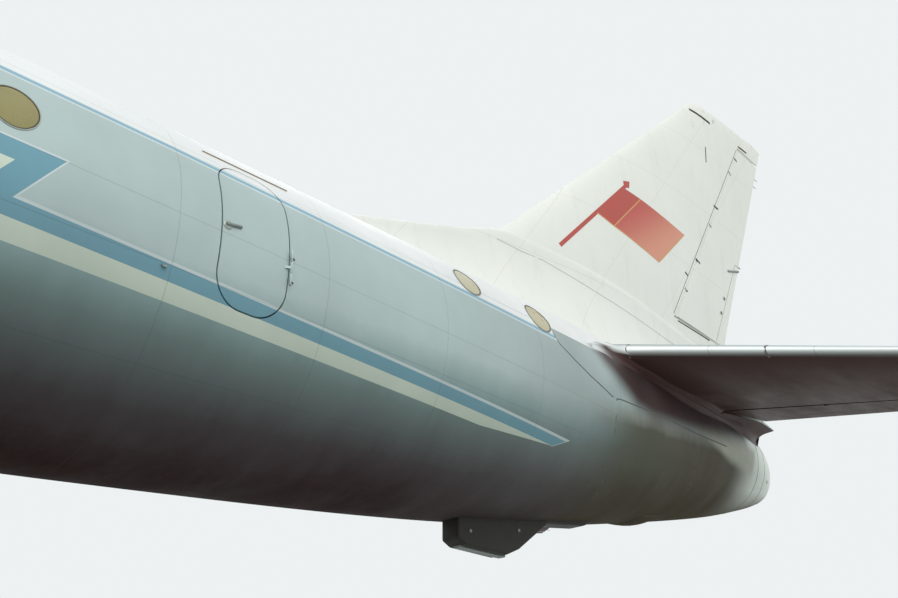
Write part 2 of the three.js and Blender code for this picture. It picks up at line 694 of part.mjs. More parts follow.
// Fuselage group
const base = finBase().subtract(fuselageClear).subtract(finClear(TOUCH));
const radome = solidOf(new THREE.SphereGeometry(1, 20, 12).scale(RADOME.length, RADOME.half, RADOME.depth)
  .translate(RADOME.x, 0, RADOME.z)).subtract(fuselageClear);
const bumper = prism(BUMPER, 'xz', -BUMPER_HALF, BUMPER_HALF).subtract(fuselageClear);
put('nose_glazing', fuselage(0, NOSE_GLAZING_END - TOUCH), GLASS);
put('fuselage_forward', fuselage(NOSE_GLAZING_END, FORWARD_END - TOUCH)
  .subtract(doorRecess(FORWARD_DOOR)).subtract(windscreenBand(TOUCH)).add(doorLugs(FORWARD_DOOR)), SILVER);
put('flight_deck_glazing', windscreenBand(0).intersect(fuselage(2300, 3800)), GLASS);
put('chin_radome', largest(radome), DARK);
put('fuselage_centre', fuselage(FORWARD_END, CENTRE_END - TOUCH), SILVER);
put('fuselage_rear', fuselage(CENTRE_END, REAR_END - TOUCH)
  .subtract(doorRecess(AFT_DOOR)).add(doorLugs(AFT_DOOR)), SILVER);
put('tail_cone', fuselage(REAR_END, wholeLength[1]), SILVER);
put('forward_door', doorPanel(FORWARD_DOOR), SILVER);
put('aft_door', doorPanel(AFT_DOOR), SILVER);
put('tail_bumper', largest(bumper), DARK);
put('fin_base', largest(base), WHITE);

// Wings with engines and gear pods
const { wing, aileron } = wingParts();
putPair('wing', wing, SILVER);
putPair('aileron', aileron, SILVER);
putPair('engine_nacelle', largest(engineNacelle()), SILVER);
putPair('engine', engine(), DARK);
putPair('gear_pod', podSolid(), SILVER);

// Tail surfaces
const { fin, rudder } = finParts();
const { tailplane, elevator } = tailplaneParts();
put('fin', fin, WHITE);
put('rudder', rudder, WHITE);
putPair('tailplane', tailplane, SILVER);
putPair('elevator', elevator, SILVER);

// Landing gear
putPair('main_leg', largest(mainLeg()), STEEL);
for (const [name, offset] of [['front', -MAIN_GEAR.axle], ['rear', MAIN_GEAR.axle]]) {
  const { x, y, tyre, width, half } = MAIN_GEAR;
  putPair(`main_${name}_wheels`, wheelPair(x + offset, PORT * y, tyre, width, half), RUBBER);
}
put('nose_leg', largest(noseLeg()), STEEL);
put('nose_fork', noseFork(), STEEL);
put('nose_wheels', wheelPair(NOSE_GEAR.x, 0, NOSE_GEAR.tyre, NOSE_GEAR.width, NOSE_GEAR.half), RUBBER);
putPair('nose_gear_door', noseGearDoor(), SILVER);

model.position.x = -LENGTH / 2;

export default model;
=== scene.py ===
"""Dresses the swept-wing airliner: smooth skins, glazing, doors, tail, engines, landing gear and finishes."""

import math
from types import SimpleNamespace

import bmesh
import bpy
import numpy as np
from bpy.props import FloatProperty, FloatVectorProperty, PointerProperty
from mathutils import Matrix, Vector


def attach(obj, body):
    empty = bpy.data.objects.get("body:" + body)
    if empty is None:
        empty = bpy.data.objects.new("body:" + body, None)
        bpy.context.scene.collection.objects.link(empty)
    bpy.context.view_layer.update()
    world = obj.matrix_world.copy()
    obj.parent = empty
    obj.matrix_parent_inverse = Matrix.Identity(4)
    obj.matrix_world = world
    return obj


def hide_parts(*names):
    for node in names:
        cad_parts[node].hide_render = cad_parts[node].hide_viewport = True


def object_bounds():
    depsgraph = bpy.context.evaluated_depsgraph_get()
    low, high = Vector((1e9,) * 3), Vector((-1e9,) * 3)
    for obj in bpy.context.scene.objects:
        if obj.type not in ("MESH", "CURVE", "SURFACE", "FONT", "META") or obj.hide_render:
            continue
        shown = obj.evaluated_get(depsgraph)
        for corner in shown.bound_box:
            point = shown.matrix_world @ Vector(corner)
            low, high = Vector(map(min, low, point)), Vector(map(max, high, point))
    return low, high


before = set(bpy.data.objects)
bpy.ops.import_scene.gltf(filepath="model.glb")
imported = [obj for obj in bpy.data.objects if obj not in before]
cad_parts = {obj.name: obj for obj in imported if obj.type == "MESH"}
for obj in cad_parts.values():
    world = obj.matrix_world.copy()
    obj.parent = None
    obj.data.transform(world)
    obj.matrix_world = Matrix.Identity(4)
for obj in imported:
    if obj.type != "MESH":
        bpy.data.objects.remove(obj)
CAD_LOW, CAD_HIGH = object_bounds()
NOSE_X = CAD_LOW[0]

bl_info = {
    "name": "Narrow Body Airliner",
    "version": (1, 0, 0),
    "blender": (4, 5, 0),
    "location": "3D View > Sidebar > Airliner",
    "description": "Builds the visible surfaces and finishes of a swept-wing twin-jet airliner",
    "category": "Add Mesh",
}

# Sizes in metres. Stations run aft from the tip of the nose, levels up from the ground, y to starboard.
PORT, STARBOARD = -1, 1

# Fuselage: station, top level, bottom level, half width
FUSELAGE = (
    (0, 3.72, 3.50, 0.12), (0.09, 3.88, 3.33, 0.29), (0.3, 4.04, 3.15, 0.47), (0.7, 4.25, 2.93, 0.70),
    (1.3, 4.48, 2.74, 0.93), (2.0, 4.68, 2.60, 1.12), (2.45, 4.79, 2.53, 1.22), (3.05, 5.18, 2.45, 1.34),
    (3.6, 5.47, 2.40, 1.435), (4.3, 5.64, 2.345, 1.54), (5.5, 5.75, 2.295, 1.68), (7.0, 5.78, 2.28, 1.75),
    (18.0, 5.78, 2.28, 1.75), (21.0, 5.78, 2.32, 1.73), (24.0, 5.78, 2.44, 1.67), (27.0, 5.78, 2.66, 1.56),
    (30.0, 5.78, 2.96, 1.41), (32.5, 5.77, 3.345, 1.205), (33.5, 5.74, 3.54, 1.075),
    (34.5, 5.70, 3.745, 0.94), (35.5, 5.62, 3.975, 0.765), (36.2, 5.49, 4.175, 0.575),
    (36.7, 5.38, 4.34, 0.40), (36.97, 5.23, 4.47, 0.255), (37.12, 5.05, 4.69, 0.075),
)
NOSE_GLAZING_END, FORWARD_END, CENTRE_END, REAR_END = 1.3, 10.9, 22.6, 31.55
TAIL_END = FUSELAGE[-1][0]
# Extra rows of the skin where both ends curve most
NEAR_ENDS = [0.03, 0.06, 0.15, 0.22, TAIL_END - 0.06, TAIL_END - 0.02]

# Doors: first and last station, low and high level, corner radius
AFT_DOOR = (25.94, 26.62, 3.70, 5.08, 0.27)
FORWARD_DOOR = (7.0, 7.72, 3.48, 5.08, 0.27)
# Depth of a door and of its recess, the gap at its hinge and the gap that shows round it
DOOR_DEPTH, DOOR_RECESS, DOOR_GAP, SEEN_GAP = 0.045, 0.053, 0.024, 0.013
HINGE_BARREL, HINGE_LENGTH = 0.026, 0.11

# Wing: span station, leading edge station, chord, level, thickness ratio
WING = ((1.1, 12.05, 9.15, 2.96, 0.145), (5.65, 15.93, 5.6, 2.96, 0.125), (17.12, 24.73, 2.64, 2.70, 0.11),
        (17.22, 24.93, 2.27, 2.699, 0.085), (17.27, 25.25, 1.75, 2.697, 0.05))
# Ends by span, share of the chord at the hinge, and degrees each way
AILERON = {"inner": 11.6, "outer": 16.6, "inset": 0.72, "travel": 20}
# Fences by span and height, and the span at which the nacelle's part of the wing ends
FENCES = ((7.7, 0.19), (11.25, 0.16))
ROOT_SPLIT = 3.48

# Engine nacelle in the wing root: station, y centre, level, outer radius, duct radius
NACELLE = ((11.35, 2.43, 3.0, 0.81, 0.745), (11.5, 2.43, 3.0, 0.86, 0.715), (12.4, 2.44, 2.99, 0.93, 0.66),
           (14.2, 2.45, 2.97, 0.96, 0.62), (17.5, 2.47, 2.94, 0.95, 0.62), (19.6, 2.52, 2.91, 0.85, 0.56),
           (21.6, 2.60, 2.88, 0.61, 0.54))
ENGINE_FACE, ENGINE_BACK, ENGINE_RADIUS = 14.2, 17.5, 0.618

# Landing gear pod: station, level, half width, half height
GEAR_POD = ((16.25, 2.85, 0.06, 0.06), (16.7, 2.79, 0.33, 0.30), (17.6, 2.74, 0.53, 0.48),
            (19.0, 2.72, 0.58, 0.53), (20.6, 2.74, 0.57, 0.52), (21.9, 2.81, 0.42, 0.37),
            (22.8, 2.89, 0.22, 0.18), (23.35, 2.94, 0.05, 0.045))
GEAR_Y = 5.65

# Fin: level, leading edge station, chord, thickness ratio
FIN = ((5.65, 29.56, 6.31, 0.10), (11.7, 36.23, 2.52, 0.085), (11.79, 36.33, 2.46, 0.075),
       (11.85, 36.47, 2.38, 0.06), (11.93, 36.85, 1.80, 0.02))
# Rudder: levels of its ends, stations of the hinge there, and degrees each way
RUDDER = {"low": 6.96, "high": 11.42, "hinge_low": 34.85, "hinge_high": 37.8, "travel": 25}
FIN_BRACKETS = (0.16, 0.5, 0.82)

# Tailplane: span station, leading edge station, chord, thickness ratio
TAILPLANE_LEVEL = 5.24
TAILPLANE = ((0.7, 31.6, 3.9, 0.11), (5.85, 36.75, 1.925, 0.09), (5.94, 36.9, 1.72, 0.07),
             (6.0, 37.12, 1.4, 0.04))
ELEVATOR = {"inner": 0.985, "outer": 5.75, "inset": 0.7, "travel": 25}

# Fillet of the tailplane root: station, reach outboard, half edge, degrees up and down the side, level
ROOT_FILLET = ((31.3, 0.01, 0.010, 2, 2, 5.06), (31.6, 0.02, 0.02, 5, 6, 5.14),
               (31.85, 0.03, 0.035, 8, 14, 5.20), (32.1, 0.14, 0.065, 11, 20, 5.235),
               (32.7, 0.40, 0.12, 17, 26, 5.24), (33.7, 0.44, 0.15, 20, 32, 5.24),
               (34.8, 0.23, 0.10, 20, 34, 5.24), (35.5, 0.31, 0.034, 16, 34, 5.24),
               (35.9, 0.35, 0.014, 10, 28, 5.24), (36.15, 0.385, 0.008, 5, 18, 5.24))

# Base of the fin: station, crest level, half width at the crest and at the foot, over its hidden floor
FIN_BASE = ((27.2, 5.80, 0.06, 0.42), (28.4, 6.10, 0.07, 0.56), (29.3, 6.36, 0.08, 0.64),
            (30.1, 6.60, 0.095, 0.70), (31.1, 6.85, 0.20, 0.76), (33.0, 6.76, 0.335, 0.76),
            (34.7, 6.60, 0.27, 0.62), (36.1, 6.48, 0.11, 0.33))
FIN_BASE_FLOOR = 5.3
# Joint between the fin base and the fuselage: station and level
FIN_BASE_JOINT = ((30.8, 6.69), (31.2, 6.65), (31.6, 6.65), (31.95, 6.6), (32.8, 6.48), (34.2, 6.34),
                  (35.9, 6.2))

# Tail bumper: its outline and its two pins by station and level, and its half width
BUMPER = ((30.11, 3.2), (30.11, 2.755), (30.23, 2.70), (30.9, 2.69), (31.12, 2.79), (31.64, 3.17),
          (32.35, 3.27), (32.65, 3.41), (32.65, 3.6))
BUMPER_PINS = ((30.3, 2.86), (31.1, 3.0))
BUMPER_HALF = 0.13

# Chin radome: its middle, and half its length, width and depth
RADOME = {"station": 3.25, "level": 2.6, "length": 1.5, "half": 0.64, "depth": 0.56}

# Control surfaces: clearances of the cove, the skin edge and both ends
COVE_GAP, SKIN_GAP, END_GAP, TIP_GAP = 0.005, 0.009, 0.045, 0.07
# Nose radius as a share of the thickness at the hinge, width of a hinge bracket, and half a trailing edge
NOSE_SHARE, BRACKET, EDGE_HALF = 0.95, 0.044, 0.0016

# Gear: station, radius and width of the tyres, half their track, half the bogie, and foot of the nose leg
MAIN_GEAR = {"station": 19.6, "tyre": 0.55, "width": 0.33, "half": 0.38, "axle": 0.62}
NOSE_GEAR = {"station": 5.35, "tyre": 0.45, "width": 0.275, "half": 0.24, "lift": 1.5}

# Gap between neighbours that would share a face, and height and width of a drawn joint
HAIR, JOINT_LIFT, JOINT_WIDTH = 0.0003, 0.0015, 0.012
# Points this close are one, and edges that turn by more degrees than this stay sharp
WELD_DISTANCE, CREASE = 1e-5, 32


def at(station):
    return NOSE_X + station


def side_view(rows):
    """Stations and levels as x and z."""
    return [(at(station), level) for station, level in rows]


def circle(points):
    """Evenly spaced directions round a full turn, as cosine and sine."""
    turns = [2 * math.pi * k / points for k in range(points)]
    return [(math.cos(turn), math.sin(turn)) for turn in turns]


def oval(station, y, level, half, high, points):
    """A ring square to the fuselage, about a centre."""
    return [(at(station), y + half * c, level + high * s) for c, s in circle(points)]


# Meshes
def smooth_reader(rows):
    """Reads a table by its first column on a smooth curve that never overshoots the rows."""
    table = np.array(rows, float)
    keys, values = table[:, 0], table[:, 1:]
    steps = np.diff(keys)[:, None]
    slopes = np.diff(values, axis=0) / steps
    tangents = np.vstack([slopes[:1], np.zeros_like(slopes[1:]), slopes[-1:]])
    before, after = slopes[:-1], slopes[1:]
    weights = (2 * steps[1:] + steps[:-1], steps[1:] + 2 * steps[:-1])
    same = before * after > 0
    pair = weights[0] / np.where(same, before, 1) + weights[1] / np.where(same, after, 1)
    tangents[1:-1] = np.where(same, (weights[0] + weights[1]) / pair, 0)

    def read(key):
        i = int(min(max(np.searchsorted(keys, key) - 1, 0), len(keys) - 2))
        span = steps[i, 0]
        t = (key - keys[i]) / span
        return (values[i] * (1 + 2 * t) * (1 - t) ** 2 + tangents[i] * span * t * (1 - t) ** 2
                + values[i + 1] * t * t * (3 - 2 * t) - tangents[i + 1] * span * t * t * (1 - t))

    return read


def straight_reader(rows):
    """Reads a table by its first column on straight lines between the rows."""
    table = np.array(rows, float)
    return lambda key: np.array([np.interp(key, table[:, 0], column) for column in table[:, 1:].T])


def stations(first, last, step, rows=()):
    """Evenly spaced values from first to last that also hit the given rows between them."""
    count = max(2, int(round((last - first) / step)) + 1)
    values = set(np.round(np.linspace(first, last, count), 5))
    values |= {round(row, 5) for row in rows if first < row < last}
    kept = []
    for value in sorted(values):
        if not kept or value - kept[-1] > 0.1 * step or value == max(values):
            kept.append(value)
    return kept


def loft(rings, ends=True):
    """A skin through rings of equally many points, closed at both ends."""
    rings = [list(ring) for ring in rings]
    size = len(rings[0])
    points = [tuple(p) for ring in rings for p in ring]
    faces = []
    for r in range(len(rings) - 1):
        for k in range(size):
            a, b = r * size + k, r * size + (k + 1) % size
            faces.append((a, b, b + size, a + size))
    if ends:
        for r in (0, len(rings) - 1):
            middle = tuple(np.mean(rings[r], axis=0))
            points.append(middle)
            for k in range(size):
                faces.append((r * size + (k + 1) % size, r * size + k, len(points) - 1))
    return points, faces


def merged(*shapes):
    points, faces = [], []
    for shape_points, shape_faces in shapes:
        shift = len(points)
        points.extend(shape_points)
        faces.extend(tuple(i + shift for i in face) for face in shape_faces)
    return points, faces


def mirrored(shape):
    return [(x, -y, z) for x, y, z in shape[0]], [tuple(reversed(face)) for face in shape[1]]


def prism(outline, plane, low, high):
    """An outline drawn in a plane and pushed square to it."""
    places = {"xz": lambda a, b, d: (a, d, b), "xy": lambda a, b, d: (a, b, d)}
    rings = [[places[plane](a, b, depth) for a, b in outline] for depth in (low, high)]
    points = rings[0] + rings[1]
    size = len(outline)
    faces = [(k, (k + 1) % size, (k + 1) % size + size, k + size) for k in range(size)]
    faces += [tuple(reversed(range(size))), tuple(range(size, 2 * size))]
    return points, faces


def box(x, y, z):
    return prism(((x[0], z[0]), (x[1], z[0]), (x[1], z[1]), (x[0], z[1])), "xz", *y)


def turned(start, end, profile, points):
    """A lathe about the line from start to end: the profile gives distance along it and radius."""
    a, b = Vector(start), Vector(end)
    along = (b - a).normalized()
    turn = Vector((0, 0, 1)).rotation_difference(along)
    return loft([[a + turn @ Vector((radius * c, radius * s, distance)) for c, s in circle(points)]
                 for distance, radius in profile])


def rod(start, end, radius, radius_end=None, points=24, bevel=0.0):
    length = (Vector(end) - Vector(start)).length
    last = radius if radius_end is None else radius_end
    if bevel:
        profile = ((0, radius - bevel), (0.3 * bevel, radius - 0.3 * bevel), (bevel, radius),
                   (length - bevel, last), (length - 0.3 * bevel, last - 0.3 * bevel), (length, last - bevel))
    else:
        profile = ((0, radius), (length, last))
    return turned(start, end, profile, points)


def plate(start, end, half, thick, side, end_half=None):
    """A flat bar with round ends between two points; side is the direction of its thickness."""
    a, b, normal = Vector(start), Vector(end), Vector(side).normalized()
    along = (b - a).normalized()
    across = normal.cross(along).normalized()
    last = half if end_half is None else end_half
    outline = []
    for centre, radius, first in ((b, last, -90), (a, half, 90)):
        for k in range(9):
            angle = math.radians(first + 22.5 * k)
            outline.append(centre + along * radius * math.cos(angle) + across * radius * math.sin(angle))
    rings = [[p + normal * depth for p in outline] for depth in (-thick / 2, thick / 2)]
    return loft(rings)


def tube(path, radius):
    """A round tube along a path of points."""
    path = [Vector(p) for p in path]
    rings, side = [], None
    for i, p in enumerate(path):
        along = (path[min(i + 1, len(path) - 1)] - path[max(i - 1, 0)]).normalized()
        base = side if side is not None else (Vector((0, 0, 1)) if abs(along.z) < 0.9 else Vector((1, 0, 0)))
        side = (base - along * base.dot(along)).normalized()
        other = along.cross(side)
        rings.append([p + radius * (side * c + other * s) for c, s in circle(10)])
    return loft(rings)


def bend_path(points):
    """A smooth path through a few points, in eight steps between each two."""
    read = smooth_reader([(i, *p) for i, p in enumerate(points)])
    return [tuple(read(i / 8)) for i in range(8 * len(points) - 7)]


def weld(mesh):
    """The points of a mesh welded and its faces turned the same way, ready to write back."""
    work = bmesh.new()
    work.from_mesh(mesh)
    bmesh.ops.remove_doubles(work, verts=work.verts, dist=WELD_DISTANCE)
    bmesh.ops.recalc_face_normals(work, faces=work.faces)
    return work


def mesh_of(shape):
    mesh = bpy.data.meshes.new("work")
    mesh.from_pydata(list(shape[0]), [], list(shape[1]))
    work = weld(mesh)
    if work.calc_volume(signed=True) < 0:
        bmesh.ops.reverse_faces(work, faces=work.faces)
    work.to_mesh(mesh)
    work.free()
    return mesh


def bevelled(shape, offset, segments, profile):
    """Rounds every edge of a closed shape."""
    mesh = mesh_of(shape)
    work = bmesh.new()
    work.from_mesh(mesh)
    bmesh.ops.bevel(work, geom=list(work.edges), offset=offset, segments=segments, profile=profile,
                    affect="EDGES")
    work.verts.index_update()
    rounded = ([tuple(v.co) for v in work.verts], [tuple(v.index for v in f.verts) for f in work.faces])
    work.free()
    bpy.data.meshes.remove(mesh)
    return rounded


def combine(first, second, how):
    """Joins or cuts two closed shapes: how is UNION, DIFFERENCE or INTERSECT."""
    objects = []
    for shape in (first, second):
        obj = bpy.data.objects.new("work", mesh_of(shape))
        bpy.context.scene.collection.objects.link(obj)
        objects.append(obj)
    modifier = objects[0].modifiers.new("cut", "BOOLEAN")
    modifier.operation = how
    modifier.solver = "MANIFOLD"
    modifier.object = objects[1]
    result = bpy.data.meshes.new_from_object(objects[0].evaluated_get(bpy.context.evaluated_depsgraph_get()))
    shape = ([tuple(v.co) for v in result.vertices], [tuple(p.vertices) for p in result.polygons])
    for obj in objects:
        mesh = obj.data
        bpy.data.objects.remove(obj)
        bpy.data.meshes.remove(mesh)
    bpy.data.meshes.remove(result)
    if not shape[1]:
        raise RuntimeError(f"nothing is left of a shape after {how}")
    return shape


def biggest(shape):
    """Keeps the biggest of the bodies that a cut leaves."""
    links = list(range(len(shape[0])))

    def root(i):
        while links[i] != i:
            links[i] = links[links[i]]
            i = links[i]
        return i

    for face in shape[1]:
        for i in face[1:]:
            links[root(i)] = root(face[0])
    groups = {}
    for face in shape[1]:
        groups.setdefault(root(face[0]), []).append(face)
    points = np.array(shape[0])

    def bulk(group):
        return np.prod(np.ptp(points[[i for face in group for i in face]], axis=0))

    faces = max(groups.values(), key=bulk)
    used = sorted({i for face in faces for i in face})
    place = {old: new for new, old in enumerate(used)}
    return [shape[0][i] for i in used], [tuple(place[i] for i in face) for face in faces]


def piece(name, parts, body, slot, stands_for=()):
    """One object of parts that are (shape, material); it rides on a body and may stand for CAD nodes."""
    materials = []
    for _, finish in parts:
        if finish not in materials:
            materials.append(finish)
    whole = merged(*[shape for shape, _ in parts])
    mesh = bpy.data.meshes.new(name)
    mesh.from_pydata(whole[0], [], whole[1])
    indices = [materials.index(finish) for shape, finish in parts for _ in shape[1]]
    mesh.polygons.foreach_set("material_index", indices)
    for finish in materials:
        mesh.materials.append(finish)
    work = weld(mesh)
    work.to_mesh(mesh)
    work.free()
    mesh.shade_smooth()
    mesh.set_sharp_from_angle(angle=math.radians(CREASE))
    obj = bpy.data.objects.new(name, mesh)
    bpy.context.scene.collection.objects.link(obj)
    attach(obj, body)
    if stands_for:
        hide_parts(*stands_for)


def pair(name, parts, body, slot, stands_for):
    """The port piece and its mirror image; a body or node name with {} takes left or right."""
    for side, shapes in (("left", parts), ("right", [(mirrored(shape), finish) for shape, finish in parts])):
        nodes = [node.format(side) for node in stands_for]
        piece(f"{name}_{side}", shapes, body.format(side), slot, nodes)


# Surfaces that details lie on: each maps two coordinates and a height above the skin to a point
read_fuselage = smooth_reader(FUSELAGE)
read_fin = straight_reader(FIN)
read_tailplane = straight_reader(TAILPLANE)
read_wing = straight_reader(WING)


def half_thickness(share, thick):
    s = min(max(share, 0.0), 1.0)
    shape = 0.2969 * math.sqrt(s) - 0.126 * s - 0.3516 * s ** 2 + 0.2843 * s ** 3 - 0.1036 * s ** 4
    return 5 * thick * shape + EDGE_HALF * s


def fuselage_section(station):
    """Level of the middle, half height and half width."""
    top, bottom, half = read_fuselage(station)
    return (top + bottom) / 2, (top - bottom) / 2, half


def fuselage_side(side):
    def surface(station, level, lift):
        middle, high, half = fuselage_section(station)
        s = min(max((level - middle) / high, -0.999), 0.999)
        c = math.sqrt(1 - s * s)
        normal = Vector((0, high * c, half * s)).normalized()
        return (at(station), side * (half * c + lift * normal.y), level + lift * normal.z)
    return surface


def fuselage_turn(station, turn, lift):
    """Turn in degrees: 0 is starboard, 90 the crown, 180 port."""
    middle, high, half = fuselage_section(station)
    c, s = math.cos(math.radians(turn)), math.sin(math.radians(turn))
    normal = Vector((0, high * c, half * s)).normalized()
    return (at(station), half * c + lift * normal.y, middle + high * s + lift * normal.z)


def fin_side(side):
    def surface(station, level, lift):
        x, chord, thick = read_fin(level)
        return (at(station), side * (half_thickness((station - x) / chord, thick) * chord + lift), level)
    return surface


def foil_side(read, over):
    """The port wing or tailplane, from above (1) or below (-1)."""
    def surface(station, y, lift):
        x, chord, *level, thick = read(y)
        rise = half_thickness((station - x) / chord, thick) * chord + lift
        return (at(station), PORT * y, (level[0] if level else TAILPLANE_LEVEL) + over * rise)
    return surface


def ribbon(surface, path, width, lift, step=0.12, round_top=False):
    """A strip that follows a path on a surface and stands proud of it by lift."""
    dense = []
    for (a0, b0), (a1, b1) in zip(path, path[1:]):
        count = max(1, int(math.hypot(a1 - a0, b1 - b0) / step))
        dense.extend((a0 + (a1 - a0) * k / count, b0 + (b1 - b0) * k / count) for k in range(count))
    dense.append(path[-1])
    dense = np.array(dense)
    ways = np.gradient(dense, axis=0)
    ways /= np.linalg.norm(ways, axis=1)[:, None]
    edge = 0.5 * lift if round_top else lift
    section = ((-0.5, -0.006), (-0.5, edge), (-0.25, lift), (0.25, lift), (0.5, edge), (0.5, -0.006))
    rings = []
    for (a, b), (da, db) in zip(dense, ways):
        rings.append([surface(a - db * s * width, b + da * s * width, h) for s, h in section])
    return loft(rings)


def panel(surface, corners, lift):
    """A thin four-cornered sheet that lies on a surface."""
    corners = np.array(corners, float)
    shares = np.linspace(0, 1, 13)
    rings = []
    for u in shares:
        first = corners[0] * (1 - u) + corners[3] * u
        last = corners[1] * (1 - u) + corners[2] * u
        spots = [first * (1 - v) + last * v for v in shares]
        upper = [surface(*spot, lift) for spot in spots]
        under = [surface(*spot, -0.004) for spot in spots]
        rings.append(upper + under[::-1])
    return loft(rings)


def disc(surface, centre, profile, points=40):
    """Rings about a centre on a surface, by radius and height; a profile that starts below makes a washer."""
    x, y = centre
    rings = [[surface(x + radius * c, y + radius * s, height) for c, s in circle(points)]
             for radius, height in profile]
    if profile[0][1] < 0:
        return loft(rings + rings[:1], ends=False)
    return loft(rings)


# Finishes
SMOOTH = {"interpolation_type": "SMOOTHSTEP"}
# Flush rivets: pitch, row beside the joint and head, about twice as coarse as life so that they show
RIVET_PITCH, RIVET_ROW, RIVET_HEAD = 0.07, 0.03, 0.016
# The fuselage's skin is unrolled about this level, at its mean radius
ROLL_LEVEL, ROLL_RADIUS = 4.05, 1.7
# Metres that the joints run forward for each metre outboard or up
SWEEPS = {"wing": -0.66, "tail": -1.0, "pod": 0.0, "fin": -0.8}


def linear(text):
    """An sRGB hex colour as linear red, green and blue."""
    channels = [int(text[i:i + 2], 16) / 255 for i in (0, 2, 4)]
    return tuple(c / 12.92 if c <= 0.04045 else ((c + 0.055) / 1.055) ** 2.4 for c in channels)


def add(tree, kind, inputs=(), output=0, stops=(), **settings):
    """Adds a node with its settings, colour stops and links, and gives one of its outputs."""
    kind, _, operation = kind.partition(" ")
    node = tree.nodes.new("ShaderNode" + kind)
    if operation:
        node.operation = operation
    for name, value in settings.items():
        setattr(node, name, value)
    for index, (place, colour) in enumerate(stops):
        ramp = node.color_ramp.elements
        stop = ramp[index] if index < len(ramp) else ramp.new(place)
        stop.position = place
        stop.color = (*colour, 1)
    for key, value in (inputs if isinstance(inputs, dict) else dict(enumerate(inputs))).items():
        socket = node.inputs[key]
        if isinstance(value, bpy.types.NodeSocket):
            tree.links.new(value, socket)
        else:
            socket.default_value = (*value, 1) if socket.type == "RGBA" and len(value) == 3 else value
    return node.outputs[output] if len(node.outputs) else node


def material(name, build, *details):
    """A named material; build makes its patterns and gives the inputs of its surface."""
    made = bpy.data.materials.new(name)
    made.use_nodes = True
    tree = made.node_tree
    tree.nodes.clear()
    add(tree, "OutputMaterial", {"Surface": add(tree, "BsdfPrincipled", build(tree, *details))})
    return made


def coats(tree, colour, layers):
    """One colour with others laid over it in turn, each where its mask is 1."""
    for mask, over in layers:
        colour = add(tree, "Mix", {0: mask, 6: colour, 7: over}, 2, data_type="RGBA")
    return colour


def zone(tree, vector, corners, soft=0.0):
    """1 inside a convex patch of the side view, fading over soft; its corners run anticlockwise."""
    inside = None
    for (x0, z0), (x1, z1) in zip(corners, corners[1:] + corners[:1]):
        across = Vector((z0 - z1, 0, x1 - x0)).normalized()
        reach = add(tree, "VectorMath DOT_PRODUCT", (vector, tuple(across)), 1)
        past = add(tree, "Math SUBTRACT", (reach, across.dot((at(x0), 0, z0))))
        inside = past if inside is None else add(tree, "Math MINIMUM", (inside, past))
    if soft:
        return add(tree, "MapRange", (inside, 0.0, soft, 0.0, 1.0), **SMOOTH)
    return add(tree, "Math GREATER_THAN", (inside, 0.0))


def unrolled(tree, vector, shape):
    """Skin coordinates: lengthways or square to the sweep, then around or along the span."""
    x, y, z = [add(tree, "SeparateXYZ", (vector,), axis) for axis in range(3)]
    if shape == "round":
        rise = add(tree, "Math SUBTRACT", (z, ROLL_LEVEL))
        turn = add(tree, "Math ARCTAN2", (rise, y))
        return add(tree, "CombineXYZ", (x, add(tree, "Math MULTIPLY", (turn, ROLL_RADIUS))))
    span = z if shape == "fin" else add(tree, "Math ABSOLUTE", (y,))
    swept = add(tree, "Math MULTIPLY_ADD", (span, SWEEPS[shape], x))
    return add(tree, "CombineXYZ", (swept, span))


def sheet_joints(tree, skin, pitches, gap):
    """Masks of the grooves between sheets and of the flush rivet heads beside them."""
    split = [add(tree, "SeparateXYZ", (skin,), axis) for axis in range(2)]
    grooves, heads = [], []
    for axis, pitch in enumerate(pitches):
        near = add(tree, "Math PINGPONG", (split[axis], pitch / 2))
        grooves.append(add(tree, "Math LESS_THAN", (near, gap / 2)))
        beside = add(tree, "Math SUBTRACT", (near, RIVET_ROW))
        along = add(tree, "Math PINGPONG", (split[1 - axis], RIVET_PITCH / 2))
        reach = add(tree, "CombineXYZ", (beside, along))
        length = add(tree, "VectorMath LENGTH", (reach,), 1)
        heads.append(add(tree, "Math LESS_THAN", (length, RIVET_HEAD / 2)))
    return [add(tree, "Math MAXIMUM", masks) for masks in (grooves, heads)]


def relief(tree, joints, rivets, waves, sag, strength, distance):
    """Raised rivets, sunk joints and the waves of thin sheet between its frames, as a normal."""
    grooves, heads = joints
    raised = add(tree, "Math SUBTRACT", (heads, grooves))
    sagging = add(tree, "Math MULTIPLY", (waves, sag))
    height = add(tree, "Math MULTIPLY_ADD", (raised, rivets, sagging))
    return add(tree, "Bump", {"Height": height, "Strength": strength, "Distance": distance})


def soot(tree, vector, streak, ragged):
    """Painted shade and soot: 0 where the skin faces up and 1 where it faces down, made ragged by streaks of
    dirt.
    """
    facing = add(tree, "SeparateXYZ", (add(tree, "TexCoord", output=1),), 2)
    run = add(tree, "Mapping", {"Vector": vector, "Scale": streak})
    streaks = add(tree, "TexNoise", {"Vector": run, "Scale": 2.0, "Detail": 6.0, "Roughness": 0.65})
    dirt = add(tree, "Math MULTIPLY_ADD", (streaks, ragged, -ragged / 2))
    middle = add(tree, "Math", (dirt, 0.5))
    return add(tree, "Math MULTIPLY_ADD", (facing, -0.5, middle)), streaks


